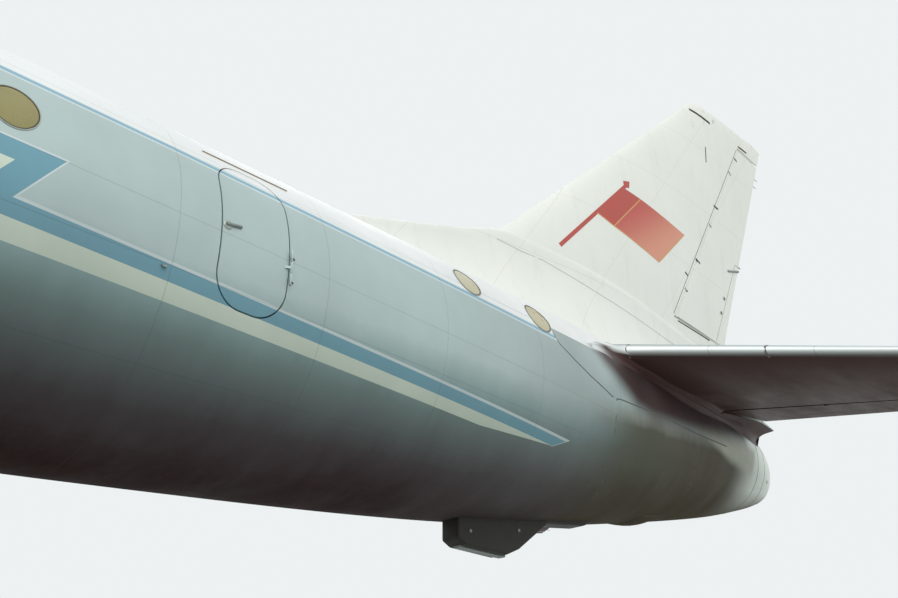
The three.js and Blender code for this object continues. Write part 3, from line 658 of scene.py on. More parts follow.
# Painted patches on the fuselage's side, in the order that they are laid on: stations and levels
LIVERY = (
    ("pale_edge", ((0, 3.70), (24.17, 3.70), (24.62, 4.306), (0, 4.306))),
    ("pale_edge", ((24.1, 3.72), (30.53, 3.64), (30.80, 3.757), (24.25, 3.883))),
    ("cream_enamel", ((0, 3.545), (29.3, 3.56), (30.524, 3.644), (24.1, 3.73), (0, 3.73))),
    ("blue_enamel", ((0, 3.72), (24.17, 3.72), (24.59, 4.288), (0, 4.288))),
    ("blue_enamel", ((24.1, 3.72), (30.524, 3.644), (30.727, 3.732), (24.27, 3.858))),
    ("cream_enamel", ((0, 3.9), (24.06, 3.9), (24.23, 4.13), (0, 4.13))),
    ("white_enamel", ((25.5, 4.99), (30.47, 4.89), (30.45, 4.99))),
    ("pale_edge", ((0, 4.92), (25.5, 4.92), (25.5, 5.0), (0, 5.0))),
    ("pale_edge", ((25.5, 4.92), (30.5, 4.82), (30.47, 4.9), (25.5, 5.0))),
    ("line_enamel", ((0, 4.938), (25.5, 4.938), (25.5, 4.982), (0, 4.982))),
    ("line_enamel", ((25.5, 4.938), (30.49, 4.838), (30.48, 4.882), (25.5, 4.982))),
)
CROWN = ((0, 4.995), (60, 4.995), (60, 9), (0, 9))
# Painted shadow below the tailplane's root fillet, the patch below the fillet that bounds it, and the strip
# wiped clean under it
FILLET_PAINTED_SHADOW = ((31.08, 5.06), (31.32, 4.72), (31.98, 4.27), (32.6, 4.2), (33.5, 4.36), (35.5, 4.64),
               (35.7, 5.7), (31.6, 5.8))
BELOW_FILLET = ((30, 3), (37, 3), (37, 5.24), (32.1, 5.24), (31.3, 5.08), (30.6, 4.94))
WIPED_PATCH = ((32.9, 4.33), (34.0, 4.36), (34.9, 4.36), (35.6, 4.25), (35.9, 4.95), (33.0, 4.75))


def livery_sheet(tree, colours):
    """Clear-coated duralumin with an enamel livery: satin sheet, glossier paint, sooty and darkened by
    painted shade towards the keel.
    """
    vector = add(tree, "TexCoord", output=3)
    shade_and_grime, streaks = soot(tree, vector, (0.9, 0.5, 0.35), 0.07)
    station = add(tree, "Math SUBTRACT", (add(tree, "SeparateXYZ", (vector,)), NOSE_X))
    clean = colours.bare_sheet
    # Painted shade with soot: the clean sheet darkens stop by stop as it turns to face down
    sides = add(tree, "ValToRGB", (shade_and_grime,), stops=(
        (0.57, clean), (0.68, colours.dull_sheet), (0.75, colours.grey_soot), (0.82, colours.sooty_sheet),
        (0.9, colours.keel_soot), (0.96, colours.deep_soot), (1.0, colours.black_soot)))
    # Smoke from the engines leaves a haze, then a brown film behind the bumper, and oil under the tail; the
    # film and the oil also darken where the skin faces down, which is painted shade
    film_and_shade = add(tree, "ValToRGB", (shade_and_grime,), stops=(
        (0.47, clean), (0.52, clean), (0.575, colours.film_edge), (0.62, colours.brown_film),
        (0.78, colours.brown_film), (0.93, colours.oily_film)))
    haze = add(tree, "MapRange", (station, 28.5, 31.0, 0.0, 0.3), **SMOOTH)
    behind = add(tree, "MapRange", (station, 30.7, 32.3, 0.0, 1.0), **SMOOTH)
    far_behind = add(tree, "MapRange", (station, 32.3, 33.5, 0.0, 1.0), **SMOOTH)
    beneath = add(tree, "MapRange", (shade_and_grime, 0.52, 0.64, 0.0, 0.75))
    oily_and_shaded = add(tree, "Math MULTIPLY", (far_behind, beneath))
    dome = add(tree, "MapRange", (station, 34.8, 36.0, 0.0, 1.0), **SMOOTH)
    upward = add(tree, "MapRange", (shade_and_grime, 0.8, 1.0, 1.0, 0.0))
    layers = [(haze, colours.engine_haze), (behind, film_and_shade), (oily_and_shaded, colours.oily_film),
              (add(tree, "Math MULTIPLY", (dome, upward)), colours.dome_enamel),
              (zone(tree, vector, WIPED_PATCH, 0.16), colours.wiped_sheet)]
    stripes = [(zone(tree, vector, corners), getattr(colours, name)) for name, corners in LIVERY]
    crown = zone(tree, vector, CROWN)
    painted = crown
    for mask, _ in stripes:
        painted = add(tree, "Math MAXIMUM", (painted, mask))
    # The enamel greys where it faces down: a thin film of dirt with painted shade
    greyed_and_shaded = add(tree, "MapRange", (shade_and_grime, 0.5, 0.8, 0.0, 0.3))
    greyed_and_shaded = add(tree, "Math MULTIPLY", (greyed_and_shaded, painted))
    layers += stripes + [(greyed_and_shaded, colours.grey_film), (crown, colours.white_enamel)]
    # Painted shadow of the tailplane on the fuselage below its root fillet
    below = zone(tree, vector, BELOW_FILLET)
    shadow = add(tree, "Math MULTIPLY", (zone(tree, vector, FILLET_PAINTED_SHADOW, 0.36), below))
    blotches = add(tree, "TexNoise", {"Vector": vector, "Scale": 0.9, "Detail": 5.0, "Roughness": 0.6})
    wear = add(tree, "MapRange", (blotches, 0.35, 0.75, 0.0, 0.16))
    joints = sheet_joints(tree, unrolled(tree, vector, "round"), (1.53, 0.85), 0.008)
    layers += [(shadow, colours.fillet_soot), (wear, colours.sooty_sheet),
               (add(tree, "Math MULTIPLY", (joints[0], 0.22)), colours.keel_soot)]
    # Bare sheet shines only where it is clean
    clear = add(tree, "MapRange", (shade_and_grime, 0.35, 0.62, 0.5, 0.0))
    unpainted = add(tree, "Math SUBTRACT", (1.0, painted))
    run = add(tree, "Mapping", {"Vector": vector, "Scale": (1.9, 0.8, 0.8)})
    waves = add(tree, "TexNoise", {"Vector": run, "Scale": 1.5, "Detail": 1.0})
    satin = add(tree, "MapRange", (streaks, 0.3, 0.7, 0.3, 0.52))
    matt = add(tree, "MapRange", (shade_and_grime, 0.78, 1.0, 0.0, 0.45))
    return {"Base Color": coats(tree, sides, layers), "Specular IOR Level": 0.14,
            "Metallic": add(tree, "Math MULTIPLY", (unpainted, clear)),
            "Roughness": add(tree, "Math", (satin, matt)),
            "Normal": relief(tree, joints, 0.35, waves, 1.6, 0.3, 0.004)}


def plain_sheet(tree, clean, dull, dirty, shape, pitches, bright_edge=None):
    """Rolled sheet with its joints, rivets and dirt: satin above, dull and sooty below, where painted shade
    darkens it too.
    """
    vector = add(tree, "TexCoord", output=3)
    shade_and_grime, streaks = soot(tree, vector, (0.4, 1.4, 1.4), 0.16)
    # Share of dirt and painted shade, greater where the sheet faces down
    share = add(tree, "MapRange", (shade_and_grime, 0.45, 0.75, 0.0, 1.0))
    x, y, z = [add(tree, "SeparateXYZ", (vector,), axis) for axis in range(3)]
    layers = []
    if bright_edge is not None:
        # A painted highlight lies along the swept leading edge, and painted shade with soot lies behind it
        # and below
        span = add(tree, "Math ABSOLUTE", (y,))
        aft = add(tree, "Math SUBTRACT", (x, at(TAILPLANE[0][1] - TAILPLANE[0][0])))
        back = add(tree, "Math MULTIPLY_ADD", (span, SWEEPS["tail"], aft))
        behind_highlight = add(tree, "MapRange", (back, -0.04, 0.2, 0.0, 1.0), **SMOOTH)
        share = add(tree, "Math MULTIPLY", (share, behind_highlight))
        layers.append((add(tree, "MapRange", (back, 0.0, 0.07, 1.0, 0.0)), bright_edge))
        # Painted shade just below the tailplane's level, under the highlight
        lower = add(tree, "MapRange", (z, TAILPLANE_LEVEL - 0.01, TAILPLANE_LEVEL - 0.08, 0.0, 1.0))
        fading = add(tree, "MapRange", (back, -0.75, -0.3, 0.0, 1.0), **SMOOTH)
        lower = add(tree, "Math MULTIPLY", (lower, fading))
        share = add(tree, "Math MAXIMUM", (share, lower))
    blotches = add(tree, "TexNoise", {"Vector": vector, "Scale": 1.1, "Detail": 5.0, "Roughness": 0.65})
    joints = sheet_joints(tree, unrolled(tree, vector, shape), pitches, 0.009)
    layers = [(blotches, dull), *layers, (share, dirty),
              (add(tree, "Math MULTIPLY", (joints[0], 0.3)), dirty)]
    clear = add(tree, "Math SUBTRACT", (1.0, share))
    return {"Base Color": coats(tree, clean, layers), "Specular IOR Level": 0.2,
            "Metallic": add(tree, "Math MULTIPLY", (clear, 0.5)),
            "Roughness": add(tree, "MapRange", (streaks, 0.3, 0.7, 0.3, 0.55)),
            "Normal": relief(tree, joints, 0.4, blotches, 0.8, 0.3, 0.003)}


def fin_enamel(tree, colours):
    """Aged white enamel: chalky with a soft gloss, rain-streaked, and chipped to bare fibre near the tip."""
    vector = add(tree, "TexCoord", output=3)
    blotches = add(tree, "TexNoise", {"Vector": vector, "Scale": 0.8, "Detail": 6.0, "Roughness": 0.65})
    run = add(tree, "Mapping", {"Vector": vector, "Scale": (3.0, 2.0, 0.35)})
    rain = add(tree, "TexNoise", {"Vector": run, "Scale": 2.2, "Detail": 4.0, "Roughness": 0.6})
    chips = add(tree, "TexNoise", {"Vector": vector, "Scale": 7.0, "Detail": 6.0, "Roughness": 0.8})
    joints = sheet_joints(tree, unrolled(tree, vector, "fin"), (1.6, 1.34), 0.007)
    tip = add(tree, "MapRange", (add(tree, "SeparateXYZ", (vector,), 2), 11.0, 12.0, 0.0, 0.1))
    chipped = add(tree, "Math GREATER_THAN", (add(tree, "Math", (chips, tip)), 0.69))
    layers = [(blotches, colours.dull_enamel),
              (add(tree, "MapRange", (rain, 0.55, 0.85, 0.0, 0.22)), colours.stained_enamel),
              (add(tree, "Math MULTIPLY", (joints[0], 0.2)), colours.keel_soot),
              (add(tree, "Math MULTIPLY", (chipped, 0.7)), colours.dull_sheet)]
    return {"Base Color": coats(tree, colours.fin_enamel, layers), "IOR": 1.5,
            "Roughness": add(tree, "MapRange", (rain, 0.3, 0.7, 0.38, 0.58)),
            "Normal": relief(tree, joints, 0.35, blotches, 0.7, 0.25, 0.003)}


def faded_cloth(tree, near, far):
    """Brushed enamel that the sun has bleached more and more towards its lower rear corner."""
    vector = add(tree, "TexCoord", output=3)
    aft, down = 0.6, -0.8
    reach = add(tree, "VectorMath DOT_PRODUCT", (vector, (aft, 0, down)), 1)
    start = aft * at(34.2) + down * 8.6
    faded = add(tree, "MapRange", (reach, start - 0.1, start + 0.8, 0.0, 1.0), **SMOOTH)
    strokes = add(tree, "TexNoise", {"Vector": vector, "Scale": 14.0, "Detail": 4.0})
    shade = add(tree, "Mix", {0: faded, 6: near, 7: far}, 2, data_type="RGBA")
    brushed = add(tree, "MapRange", (strokes, 0.5, 0.8, 0.0, 0.12))
    return {"Base Color": coats(tree, shade, [(brushed, far)]), "IOR": 1.5,
            "Roughness": add(tree, "MapRange", (strokes, 0.3, 0.7, 0.42, 0.58))}


def mottled(tree, colour, roughness, metallic, mottle, grain_mm, depth_mm=0, sockets=(), stretch=(1, 1, 1)):
    """One colour with its own grain: size and depth in millimetres, stretched where it runs one way."""
    vector = add(tree, "Mapping", {"Vector": add(tree, "TexCoord", output=3), "Scale": stretch})
    grain = add(tree, "TexNoise", {"Vector": vector, "Scale": 1000 / grain_mm, "Detail": 4.0,
                                   "Roughness": 0.6})
    darker, lighter = (tuple(min(1.0, c * share) for c in colour) for share in (1 - 2 * mottle, 1 + mottle))
    rough = (max(0.05, roughness - 0.1), roughness + 0.1)
    inputs = {"Base Color": add(tree, "Mix", {0: grain, 6: darker, 7: lighter}, 2, data_type="RGBA"),
              "Roughness": add(tree, "MapRange", (grain, 0.2, 0.8, *rough)), "Metallic": metallic,
              **dict(sockets)}
    if depth_mm:
        inputs["Normal"] = add(tree, "Bump", {"Height": grain, "Strength": 0.5, "Distance": depth_mm / 1000})
    return inputs


ACRYLIC = {"IOR": 1.49, "Coat Weight": 0.4}
LAMP_GLASS = {"IOR": 1.5, "Coat Weight": 0.6}

# Name, real material, colour, roughness, metallic, mottle, grain and depth in mm, other sockets, stretch
PLAIN_FINISHES = (
    # Unlit rooms behind them make the panes dark with a hard, clear highlight
    ("perspex", "tinted cast acrylic", "2c3a3d", 0.12, 0.0, 0.1, 900, 0, ACRYLIC),
    # The sun turns old acrylic brown and then bleaches it
    ("cabin_glass", "sun-browned cast acrylic", "938a50", 0.25, 0.0, 0.14, 220, 0, ACRYLIC),
    ("small_glass", "bleached cast acrylic", "b9b18a", 0.3, 0.0, 0.1, 220, 0, ACRYLIC),
    # Anodised rims stay dull grey under their dirt
    ("rim", "anodised aluminium pressing", "a9b0a8", 0.4, 0.7, 0.15, 30, 0.1),
    # Rubber seals go matt and grey with dust
    ("seal", "moulded black rubber seal", "4a4438", 0.7, 0.0, 0.2, 12, 0.1),
    # Sand casting leaves the frames softly uneven under their satin enamel
    ("frame_metal", "grey enamelled magnesium casting", "a9b4b4", 0.42, 0.3, 0.1, 80, 0.2),
    # Fibre shows through thin enamel as a faint weave
    ("radome", "grey enamel on laid-up glass fibre", "5f666a", 0.45, 0.0, 0.08, 250, 0.2),
    # Soot and scrapes leave the bumper near black and almost matt
    ("keel_paint", "sooty enamel on pressed steel", "2b2724", 0.55, 0.1, 0.2, 180, 0.5),
    # Spun and polished lips mirror the sky
    ("polished", "spun and polished duralumin", "c6ccce", 0.18, 1.0, 0.05, 200),
    # Heat turns rolled stainless steel brown and blue in bands round the pipe
    ("hot_steel", "heat-stained rolled stainless steel", "6d5f55", 0.42, 0.9, 0.25, 160, 0.2, (),
     (1, 0.3, 0.3)),
    # Milled blades glint softly along their edges
    ("blade", "milled compressor alloy", "8d9194", 0.35, 0.9, 0.1, 40),
    # Sprayed ducts are an even, dull grey
    ("duct", "sprayed grey duct enamel", "6b7071", 0.5, 0.1, 0.12, 200, 0.2),
    # Enamel on forgings is thick and follows their scale
    ("gear_paint", "grey enamelled forged steel", "8b9392", 0.42, 0.1, 0.12, 60, 0.4),
    # Ground chrome is the brightest mirror on the gear
    ("piston", "ground hard chrome", "cfd4d6", 0.14, 1.0, 0.04, 60),
    # Cast hubs have a satin green with soft pits
    ("hub", "green enamelled magnesium casting", "5d7563", 0.45, 0.1, 0.15, 40, 0.4),
    # Vulcanised rubber is near black, dusty on its shoulders
    ("tyre", "vulcanised black rubber", "2a2a2a", 0.8, 0.0, 0.2, 40, 0.8),
    # The flag's hoist keeps its deep colour, and its amber edges have faded
    ("dark_red", "brushed dark red enamel", "bd4d41", 0.5, 0.0, 0.08, 250, 0.1),
    ("amber_line", "faded amber enamel line", "d6a468", 0.5, 0.0, 0.08, 200),
    # Dark strips paint the shade inside open slots, and joints fill with dirt or pale dust as soft lines
    ("dark_line", "open slot", "2e2a27", 0.7, 0.0, 0.15, 60),
    ("joint_line", "dirt packed in a sheet joint", "6b6c66", 0.75, 0.0, 0.25, 60),
    ("faint_line", "pale dust in an enamelled joint", "bdc0b7", 0.75, 0.0, 0.12, 60),
    # Weather leaves the strips over the doors dry and brown
    ("brown_trim", "weathered brown drip strip", "a3937a", 0.55, 0.1, 0.2, 60, 0.2),
    # Pressed glass is smooth and deep under a hard gloss
    ("lamp_red", "pressed red lamp glass", "8e1f1c", 0.12, 0.0, 0.1, 30, 0, LAMP_GLASS),
    ("lamp_green", "pressed green lamp glass", "1f6b46", 0.12, 0.0, 0.1, 30, 0, LAMP_GLASS),
    ("lamp_clear", "pressed clear lamp glass", "d9dcd6", 0.12, 0.0, 0.05, 30, 0, LAMP_GLASS),
)


# The materials, made once and read by name
finish = SimpleNamespace()


def make_finishes(colours):
    finish.livery = material("clear-coated duralumin with enamel livery", livery_sheet, colours)
    finish.white = material("aged white enamel on duralumin", fin_enamel, colours)
    sheet = (colours.wing_sheet, colours.dull_wing)
    finish.wing_sheet = material("clear-coated rolled duralumin wing skin", plain_sheet, *sheet,
                                 colours.wing_soot, "wing", (1.35, 1.12))
    finish.tail_sheet = material("clear-coated rolled duralumin tail skin", plain_sheet, *sheet,
                                 colours.underside_soot, "tail", (1.05, 0.93), colours.bright_edge)
    finish.pod_sheet = material("clear-coated beaten duralumin cowl", plain_sheet, *sheet,
                                colours.wing_soot, "pod", (1.3, 1.1))
    finish.red_enamel = material("sun-bleached brushed red enamel", faded_cloth, colours.red_cloth,
                                 colours.bleached_cloth)
    for name, real, colour, *rest in PLAIN_FINISHES:
        setattr(finish, name, material(real, mottled, linear(colour), *rest))


def in_finish(made, *shapes):
    """Pairs each shape with one finish."""
    return [(shape, made) for shape in shapes]


# Fuselage
def fuselage_ring(station, grow, points):
    middle, high, half = fuselage_section(station)
    return oval(station, 0, middle, half + grow, high + grow, points)


def fuselage_skin(first, last, grow=0.0, step=0.15, points=112):
    rows = [row[0] for row in FUSELAGE] + NEAR_ENDS
    return loft([fuselage_ring(s, grow, points) for s in stations(first, last, step, rows)])


def fuselage_band(station, width, lift, sink):
    """A flat band round the fuselage."""
    section = ((-width / 2, -sink), (-width / 2, lift), (width / 2, lift), (width / 2, -sink))
    return loft([fuselage_ring(station + shift, height, 96) for shift, height in section], ends=False)


def rounded_outline(door, grow):
    first, last, low, high, corner = door
    centres = ((last - corner, high - corner), (first + corner, high - corner),
               (first + corner, low + corner), (last - corner, low + corner))
    outline = []
    for quarter, (x, z) in enumerate(centres):
        for k in range(13):
            turn = (quarter + k / 12) * math.pi / 2
            outline.append((at(x + (corner + grow) * math.cos(turn)), z + (corner + grow) * math.sin(turn)))
    return outline


def door_block(door, grow):
    """A door's outline pushed right through the port side of the fuselage."""
    return prism(rounded_outline(door, grow), "xz", -2.5, -0.5)


def door_recess(door):
    core = fuselage_skin(door[0] - 0.35, door[1] + 0.35, -DOOR_RECESS, 0.1)
    return combine(door_block(door, SEEN_GAP), core, "DIFFERENCE")


def door_shell(door, outer, inner, grow):
    """What lies between two depths of the fuselage's skin, inside the outline of a door."""
    first, last = door[0] - 0.2, door[1] + 0.2
    skin = combine(fuselage_skin(first, last, outer, 0.05, 160),
                   fuselage_skin(first - 0.05, last + 0.05, inner, 0.05), "DIFFERENCE")
    return combine(skin, door_block(door, grow), "INTERSECT")


def hinge_knuckle(door, shift, reach):
    """A slim knuckle on the hinge line with an arm that runs down to the skin."""
    middle, _, half = fuselage_section(door[1])
    x, y = at(door[1] + DOOR_GAP / 2), PORT * (half + HINGE_BARREL)
    middle += shift
    low = middle - HINGE_LENGTH / 2
    barrel = rod((x, y, low), (x, y, low + HINGE_LENGTH), 0.34 * HINGE_BARREL, points=20, bevel=0.003)
    root = y - PORT * HINGE_BARREL
    arm = prism(((x, y - 0.006), (x, y + 0.006), (x + reach, root + 0.012), (x + reach, root - 0.003)), "xy",
                middle - 0.012, middle + 0.012)
    return merged(barrel, arm)


def door_fittings(door, station, level):
    """Handle over its dished plate, and the hinge knuckle."""
    surface = fuselage_side(PORT)
    lever = ribbon(surface, ((station - 0.02, level), (station + 0.13, level + 0.03)), 0.028, 0.022,
                   round_top=True, step=0.03)
    dish = disc(surface, (station, level), ((0.02, 0.007), (0.038, 0.006), (0.043, 0.003), (0.046, -0.004)))
    return [(lever, finish.gear_paint), (dish, finish.rim), (hinge_knuckle(door, 0, -0.05), finish.livery)]


def make_fuselage():
    lugs = HINGE_LENGTH + HAIR
    for name, first, last, door in (("fuselage_forward", NOSE_GLAZING_END, FORWARD_END, FORWARD_DOOR),
                                    ("fuselage_rear", CENTRE_END, REAR_END, AFT_DOOR)):
        skin = combine(fuselage_skin(first, last), door_recess(door), "DIFFERENCE")
        liner = door_shell(door, 0.0015 - DOOR_RECESS, -0.004 - DOOR_RECESS, SEEN_GAP - 0.0005)
        knuckles = [hinge_knuckle(door, shift, 0.05) for shift in (-lugs, lugs)]
        parts = [(skin, finish.livery), (liner, finish.duct)] + in_finish(finish.livery, *knuckles)
        piece(name + "_skin", parts + side_lines(name), "airframe", "skin", (name,))
    centre = fuselage_skin(FORWARD_END, CENTRE_END)
    piece("fuselage_centre_skin", [(centre, finish.livery)], "airframe", "skin", ("fuselage_centre",))
    cone = [(fuselage_skin(REAR_END, TAIL_END, 0.0, 0.1), finish.livery)] + side_lines("tail_cone")
    piece("tail_cone_skin", cone, "airframe", "skin", ("tail_cone",))


# Joints on the rear fuselage: stations and levels that each runs through
REAR_SEAMS = {
    "fuselage_rear": (((30.47, 4.92), (30.53, 4.79), (30.77, 4.66), (31.03, 4.555), (31.5, 4.42)),),
    "tail_cone": (((31.57, 4.42), (31.575, 4.2), (31.62, 3.9), (31.68, 3.66), (31.85, 3.45)),
                  ((31.57, 4.42), (31.66, 4.44), (32.6, 4.5), (33.75, 4.55), (34.6, 4.62)),
                  ((33.7, 4.5), (33.72, 4.2), (33.8, 3.95))),
}
CONE_BANDS = (35.92, 36.32)
# Blister under the tail cone: first station, length, height and half width in degrees
BLISTER = (33.3, 0.55, 0.045, 15)


def blister():
    station, length, high, wide = BLISTER
    rings = []
    for k in range(13):
        rise = high * math.sin(math.pi * k / 12) ** 0.7
        spread = [(math.cos(math.pi * j / 12), math.sin(math.pi * j / 12)) for j in range(13)]
        rings.append([fuselage_turn(station + length * k / 12, 270 + wide * c, rise * s) for c, s in spread])
    return loft(rings)


def side_lines(name):
    """Joints, drip strips and small marks of each fuselage length."""
    parts = []
    for side in (PORT, STARBOARD):
        for seam in REAR_SEAMS.get(name, ()):
            parts.append((ribbon(fuselage_side(side), seam, 0.015, JOINT_LIFT), finish.joint_line))
    door = {"fuselage_forward": FORWARD_DOOR, "fuselage_rear": AFT_DOOR}.get(name)
    if door:
        first, last, _, high, _ = door
        surface = fuselage_side(PORT)
        gutter = ((first - 0.08, high + 0.08), (last + 0.15, high + 0.09))
        parts.append((ribbon(surface, gutter, 0.009, 0.009, round_top=True), finish.brown_trim))
        clip = ((first - 0.48, 3.80), (first - 0.44, 3.80))
        parts.append((ribbon(surface, clip, 0.02, 0.02, round_top=True, step=0.02), finish.rim))
    if name == "tail_cone":
        bands = [fuselage_band(station, 0.012, JOINT_LIFT, 0.004) for station in CONE_BANDS]
        parts += in_finish(finish.joint_line, *bands) + [(blister(), finish.livery)]
    return parts


def make_doors():
    for name, door, handle in (("forward_door", FORWARD_DOOR, (7.06, 4.3)),
                               ("aft_door", AFT_DOOR, (25.99, 4.36))):
        parts = [(door_shell(door, 0.0, -DOOR_DEPTH, 0), finish.livery)] + door_fittings(door, *handle)
        piece(name + "_panel", parts, name, "skin", (name,))


# Frames round the nose glazing: station and width; and the metal cap: station and share of the first ring
NOSE_FRAMES = ((0.12, 0.07), (0.42, 0.045), (0.82, 0.045), (NOSE_GLAZING_END - 0.035, 0.06))
NOSE_CAP = ((-0.016, 0.3), (-0.012, 0.65), (-0.005, 0.9))
CAP_LIFT = 0.006


def make_nose_glazing():
    shell = fuselage_skin(0.0, NOSE_GLAZING_END - HAIR, 0.0, 0.05, 96)
    bars = [ribbon(fuselage_turn, [(0.12, turn), (NOSE_GLAZING_END - 0.01, turn)], 2.6, 0.007, step=0.05)
            for turn in range(0, 360, 30)]
    bars += [fuselage_band(station, width, 0.008, 0.005) for station, width in NOSE_FRAMES]
    level = (FUSELAGE[0][1] + FUSELAGE[0][2]) / 2
    first = fuselage_ring(0.0, CAP_LIFT, 96)
    dome = [[(at(station), share * y, level + share * (z - level)) for _, y, z in first]
            for station, share in NOSE_CAP]
    cap = loft(dome + [fuselage_ring(station, CAP_LIFT, 96) for station in (0.0, 0.03, 0.06, 0.12)])
    parts = [(shell, finish.perspex)] + in_finish(finish.frame_metal, *bars, cap)
    piece("glazed_nose", parts, "airframe", "glazing", ("nose_glazing",))


# Flight deck panes: station range at the low and high edge, and turn range in degrees from the crown
FLIGHT_DECK = (
    ((2.56, 2.62, 3.14, 3.14), 3, 27), ((2.58, 2.68, 3.16, 3.18), 30, 49), ((2.72, 2.90, 3.34, 3.26), 52, 66),
    ((3.2, 3.2, 3.5, 3.5), 4, 26), ((3.22, 3.24, 3.5, 3.5), 29, 48), ((3.32, 3.40, 3.52, 3.5), 51, 63),
)
FLIGHT_DECK_SIDE = ((2.48, 4.60), (3.56, 5.01), (3.56, 5.70), (2.48, 5.70))
SEAL_SPREAD = (1.09, 1.1)


def make_flight_deck():
    band_skin = combine(fuselage_skin(2.3, 3.8, 0.003, 0.05, 160), fuselage_skin(2.2, 3.9, -0.04, 0.05),
                        "DIFFERENCE")
    cutter = prism(side_view(FLIGHT_DECK_SIDE), "xz", -2, 2)
    parts = [(combine(band_skin, cutter, "INTERSECT"), finish.livery)]
    for (a, b, c, d), first, last in FLIGHT_DECK:
        for sign in (-1, 1):
            turns = (90 + sign * first, 90 + sign * last)
            quad = ((a, turns[0]), (b, turns[1]), (c, turns[1]), (d, turns[0]))
            middle = np.mean(quad, axis=0)
            wide = [tuple(middle + (np.array(q) - middle) * SEAL_SPREAD) for q in quad]
            parts.append((panel(fuselage_turn, wide, 0.007), finish.seal))
            parts.append((panel(fuselage_turn, quad, 0.010), finish.perspex))
    piece("flight_deck_panes", parts, "airframe", "glazing", ("flight_deck_glazing",))


# Cabin windows run forward from the last one; small ones behind them: station, level, radius
LAST_WINDOW, WINDOW_COUNT = 24.174, 16
SMALL_WINDOWS = ((29.13, 5.09, 0.175), (30.29, 5.06, 0.185))
# Rim and seal of a window: distance outside the pane's radius, and height above the skin
RIM = ((-0.002, -0.006), (-0.001, 0.005), (0.002, 0.006), (0.007, 0.005), (0.009, -0.006))
SEAL = ((-0.012, -0.006), (-0.011, 0.004), (-0.001, 0.0045), (0, -0.006))


def make_windows(sizes):
    level, radius = sizes.window_level, sizes.window_radius
    spots = [(LAST_WINDOW - k * sizes.window_pitch, level, radius, finish.cabin_glass)
             for k in range(WINDOW_COUNT)]
    spots += [(*place, finish.small_glass) for place in SMALL_WINDOWS]
    door_middle = (FORWARD_DOOR[0] + FORWARD_DOOR[1]) / 2
    parts = []
    for side in (PORT, STARBOARD):
        surface = fuselage_side(side)
        for station, level, radius, glass in spots:
            if abs(station - door_middle) < 0.6:
                continue
            pane = ((radius * 0.3, 0.003), (radius * 0.6, 0.003), (radius - 0.012, 0.002),
                    (radius - 0.008, -0.006))
            for profile, made in ((RIM, finish.rim), (SEAL, finish.seal)):
                ring = [(radius + out, height) for out, height in profile]
                parts.append((disc(surface, (station, level), ring), made))
            parts.append((disc(surface, (station, level), pane), glass))
    piece("cabin_windows", parts, "airframe", "glazing")


def make_radome():
    rings = []
    for k in range(25):
        share = math.cos(math.pi * k / 24)
        wide = math.sqrt(max(1e-6, 1 - share * share))
        rings.append(oval(RADOME["station"] - RADOME["length"] * share, 0, RADOME["level"],
                          RADOME["half"] * wide, RADOME["depth"] * wide, 64))
    bowl = combine(loft(rings), fuselage_skin(1.5, 5.0, -0.01, 0.1), "DIFFERENCE")
    piece("chin_radome_bowl", [(bowl, finish.radome)], "airframe", "dark_paint", ("chin_radome",))


def make_bumper():
    """The tail bumper fairing under the rear fuselage, with its shoe and two pins."""
    outline = side_view(BUMPER)
    body = bevelled(prism(outline, "xz", -BUMPER_HALF, BUMPER_HALF), 0.035, 4, 0.6)
    shoe = box((at(30.22), at(30.95)), (-0.05, 0.05), (2.682, 2.72))
    reach = BUMPER_HALF + 0.012
    pins = [rod((at(s), -reach, z), (at(s), reach, z), 0.02, bevel=0.004) for s, z in BUMPER_PINS]
    parts = [(body, finish.keel_paint)] + in_finish(finish.gear_paint, shoe, *pins)
    piece("tail_bumper_fairing", parts, "airframe", "dark_paint", ("tail_bumper",))


def make_fin_base():
    read = smooth_reader(FIN_BASE)
    steps = 20

    def half_width(share, neck, foot):
        return neck + (foot - neck) * (1 - share) ** 2

    rings = []
    for s in stations(FIN_BASE[0][0], FIN_BASE[-1][0], 0.12):
        crest, neck, foot = read(s)
        side = [(half_width(k / steps, neck, foot), FIN_BASE_FLOOR + (crest - FIN_BASE_FLOOR) * k / steps)
                for k in range(steps + 1)]
        turns = [math.pi * j / 8 for j in range(1, 8)]
        cap = [(neck * math.cos(turn), crest + 0.45 * neck * math.sin(turn)) for turn in turns]
        rings.append([(at(s), y, z) for y, z in side + cap + [(-y, z) for y, z in reversed(side)]])
    parts = [(loft(rings), finish.white)]
    for side in (PORT, STARBOARD):
        def surface(station, level, lift, side=side):
            crest, neck, foot = read(station)
            share = min((level - FIN_BASE_FLOOR) / (crest - FIN_BASE_FLOOR), 1)
            return at(station), side * (half_width(share, neck, foot) + lift), level
        parts.append((ribbon(surface, FIN_BASE_JOINT, JOINT_WIDTH, JOINT_LIFT), finish.faint_line))
    piece("fin_base_fairing", parts, "airframe", "white_paint", ("fin_base",))


# Wings and tail surfaces
FOIL_SHARES = [0.5 - 0.5 * math.cos(math.pi * k / 44) for k in range(45)]
TOO_LONG = 0.4


def foil_ring(x, chord, thick, place_point):
    upper = [place_point(x + s * chord, half_thickness(s, thick) * chord) for s in FOIL_SHARES]
    lower = [place_point(x + s * chord, -half_thickness(s, thick) * chord) for s in FOIL_SHARES[1:]]
    return upper + lower[::-1]


def foil(rows, place_of, step=0.35):
    """An aerofoil through rows keyed by span; place_of gives the placing function of a row."""
    read = straight_reader(rows)
    rings = []
    for key in stations(rows[0][0], rows[-1][0], step, [row[0] for row in rows]):
        values = read(key)
        rings.append(foil_ring(at(values[0]), values[1], values[-1], place_of(key, values)))
    return loft(rings)


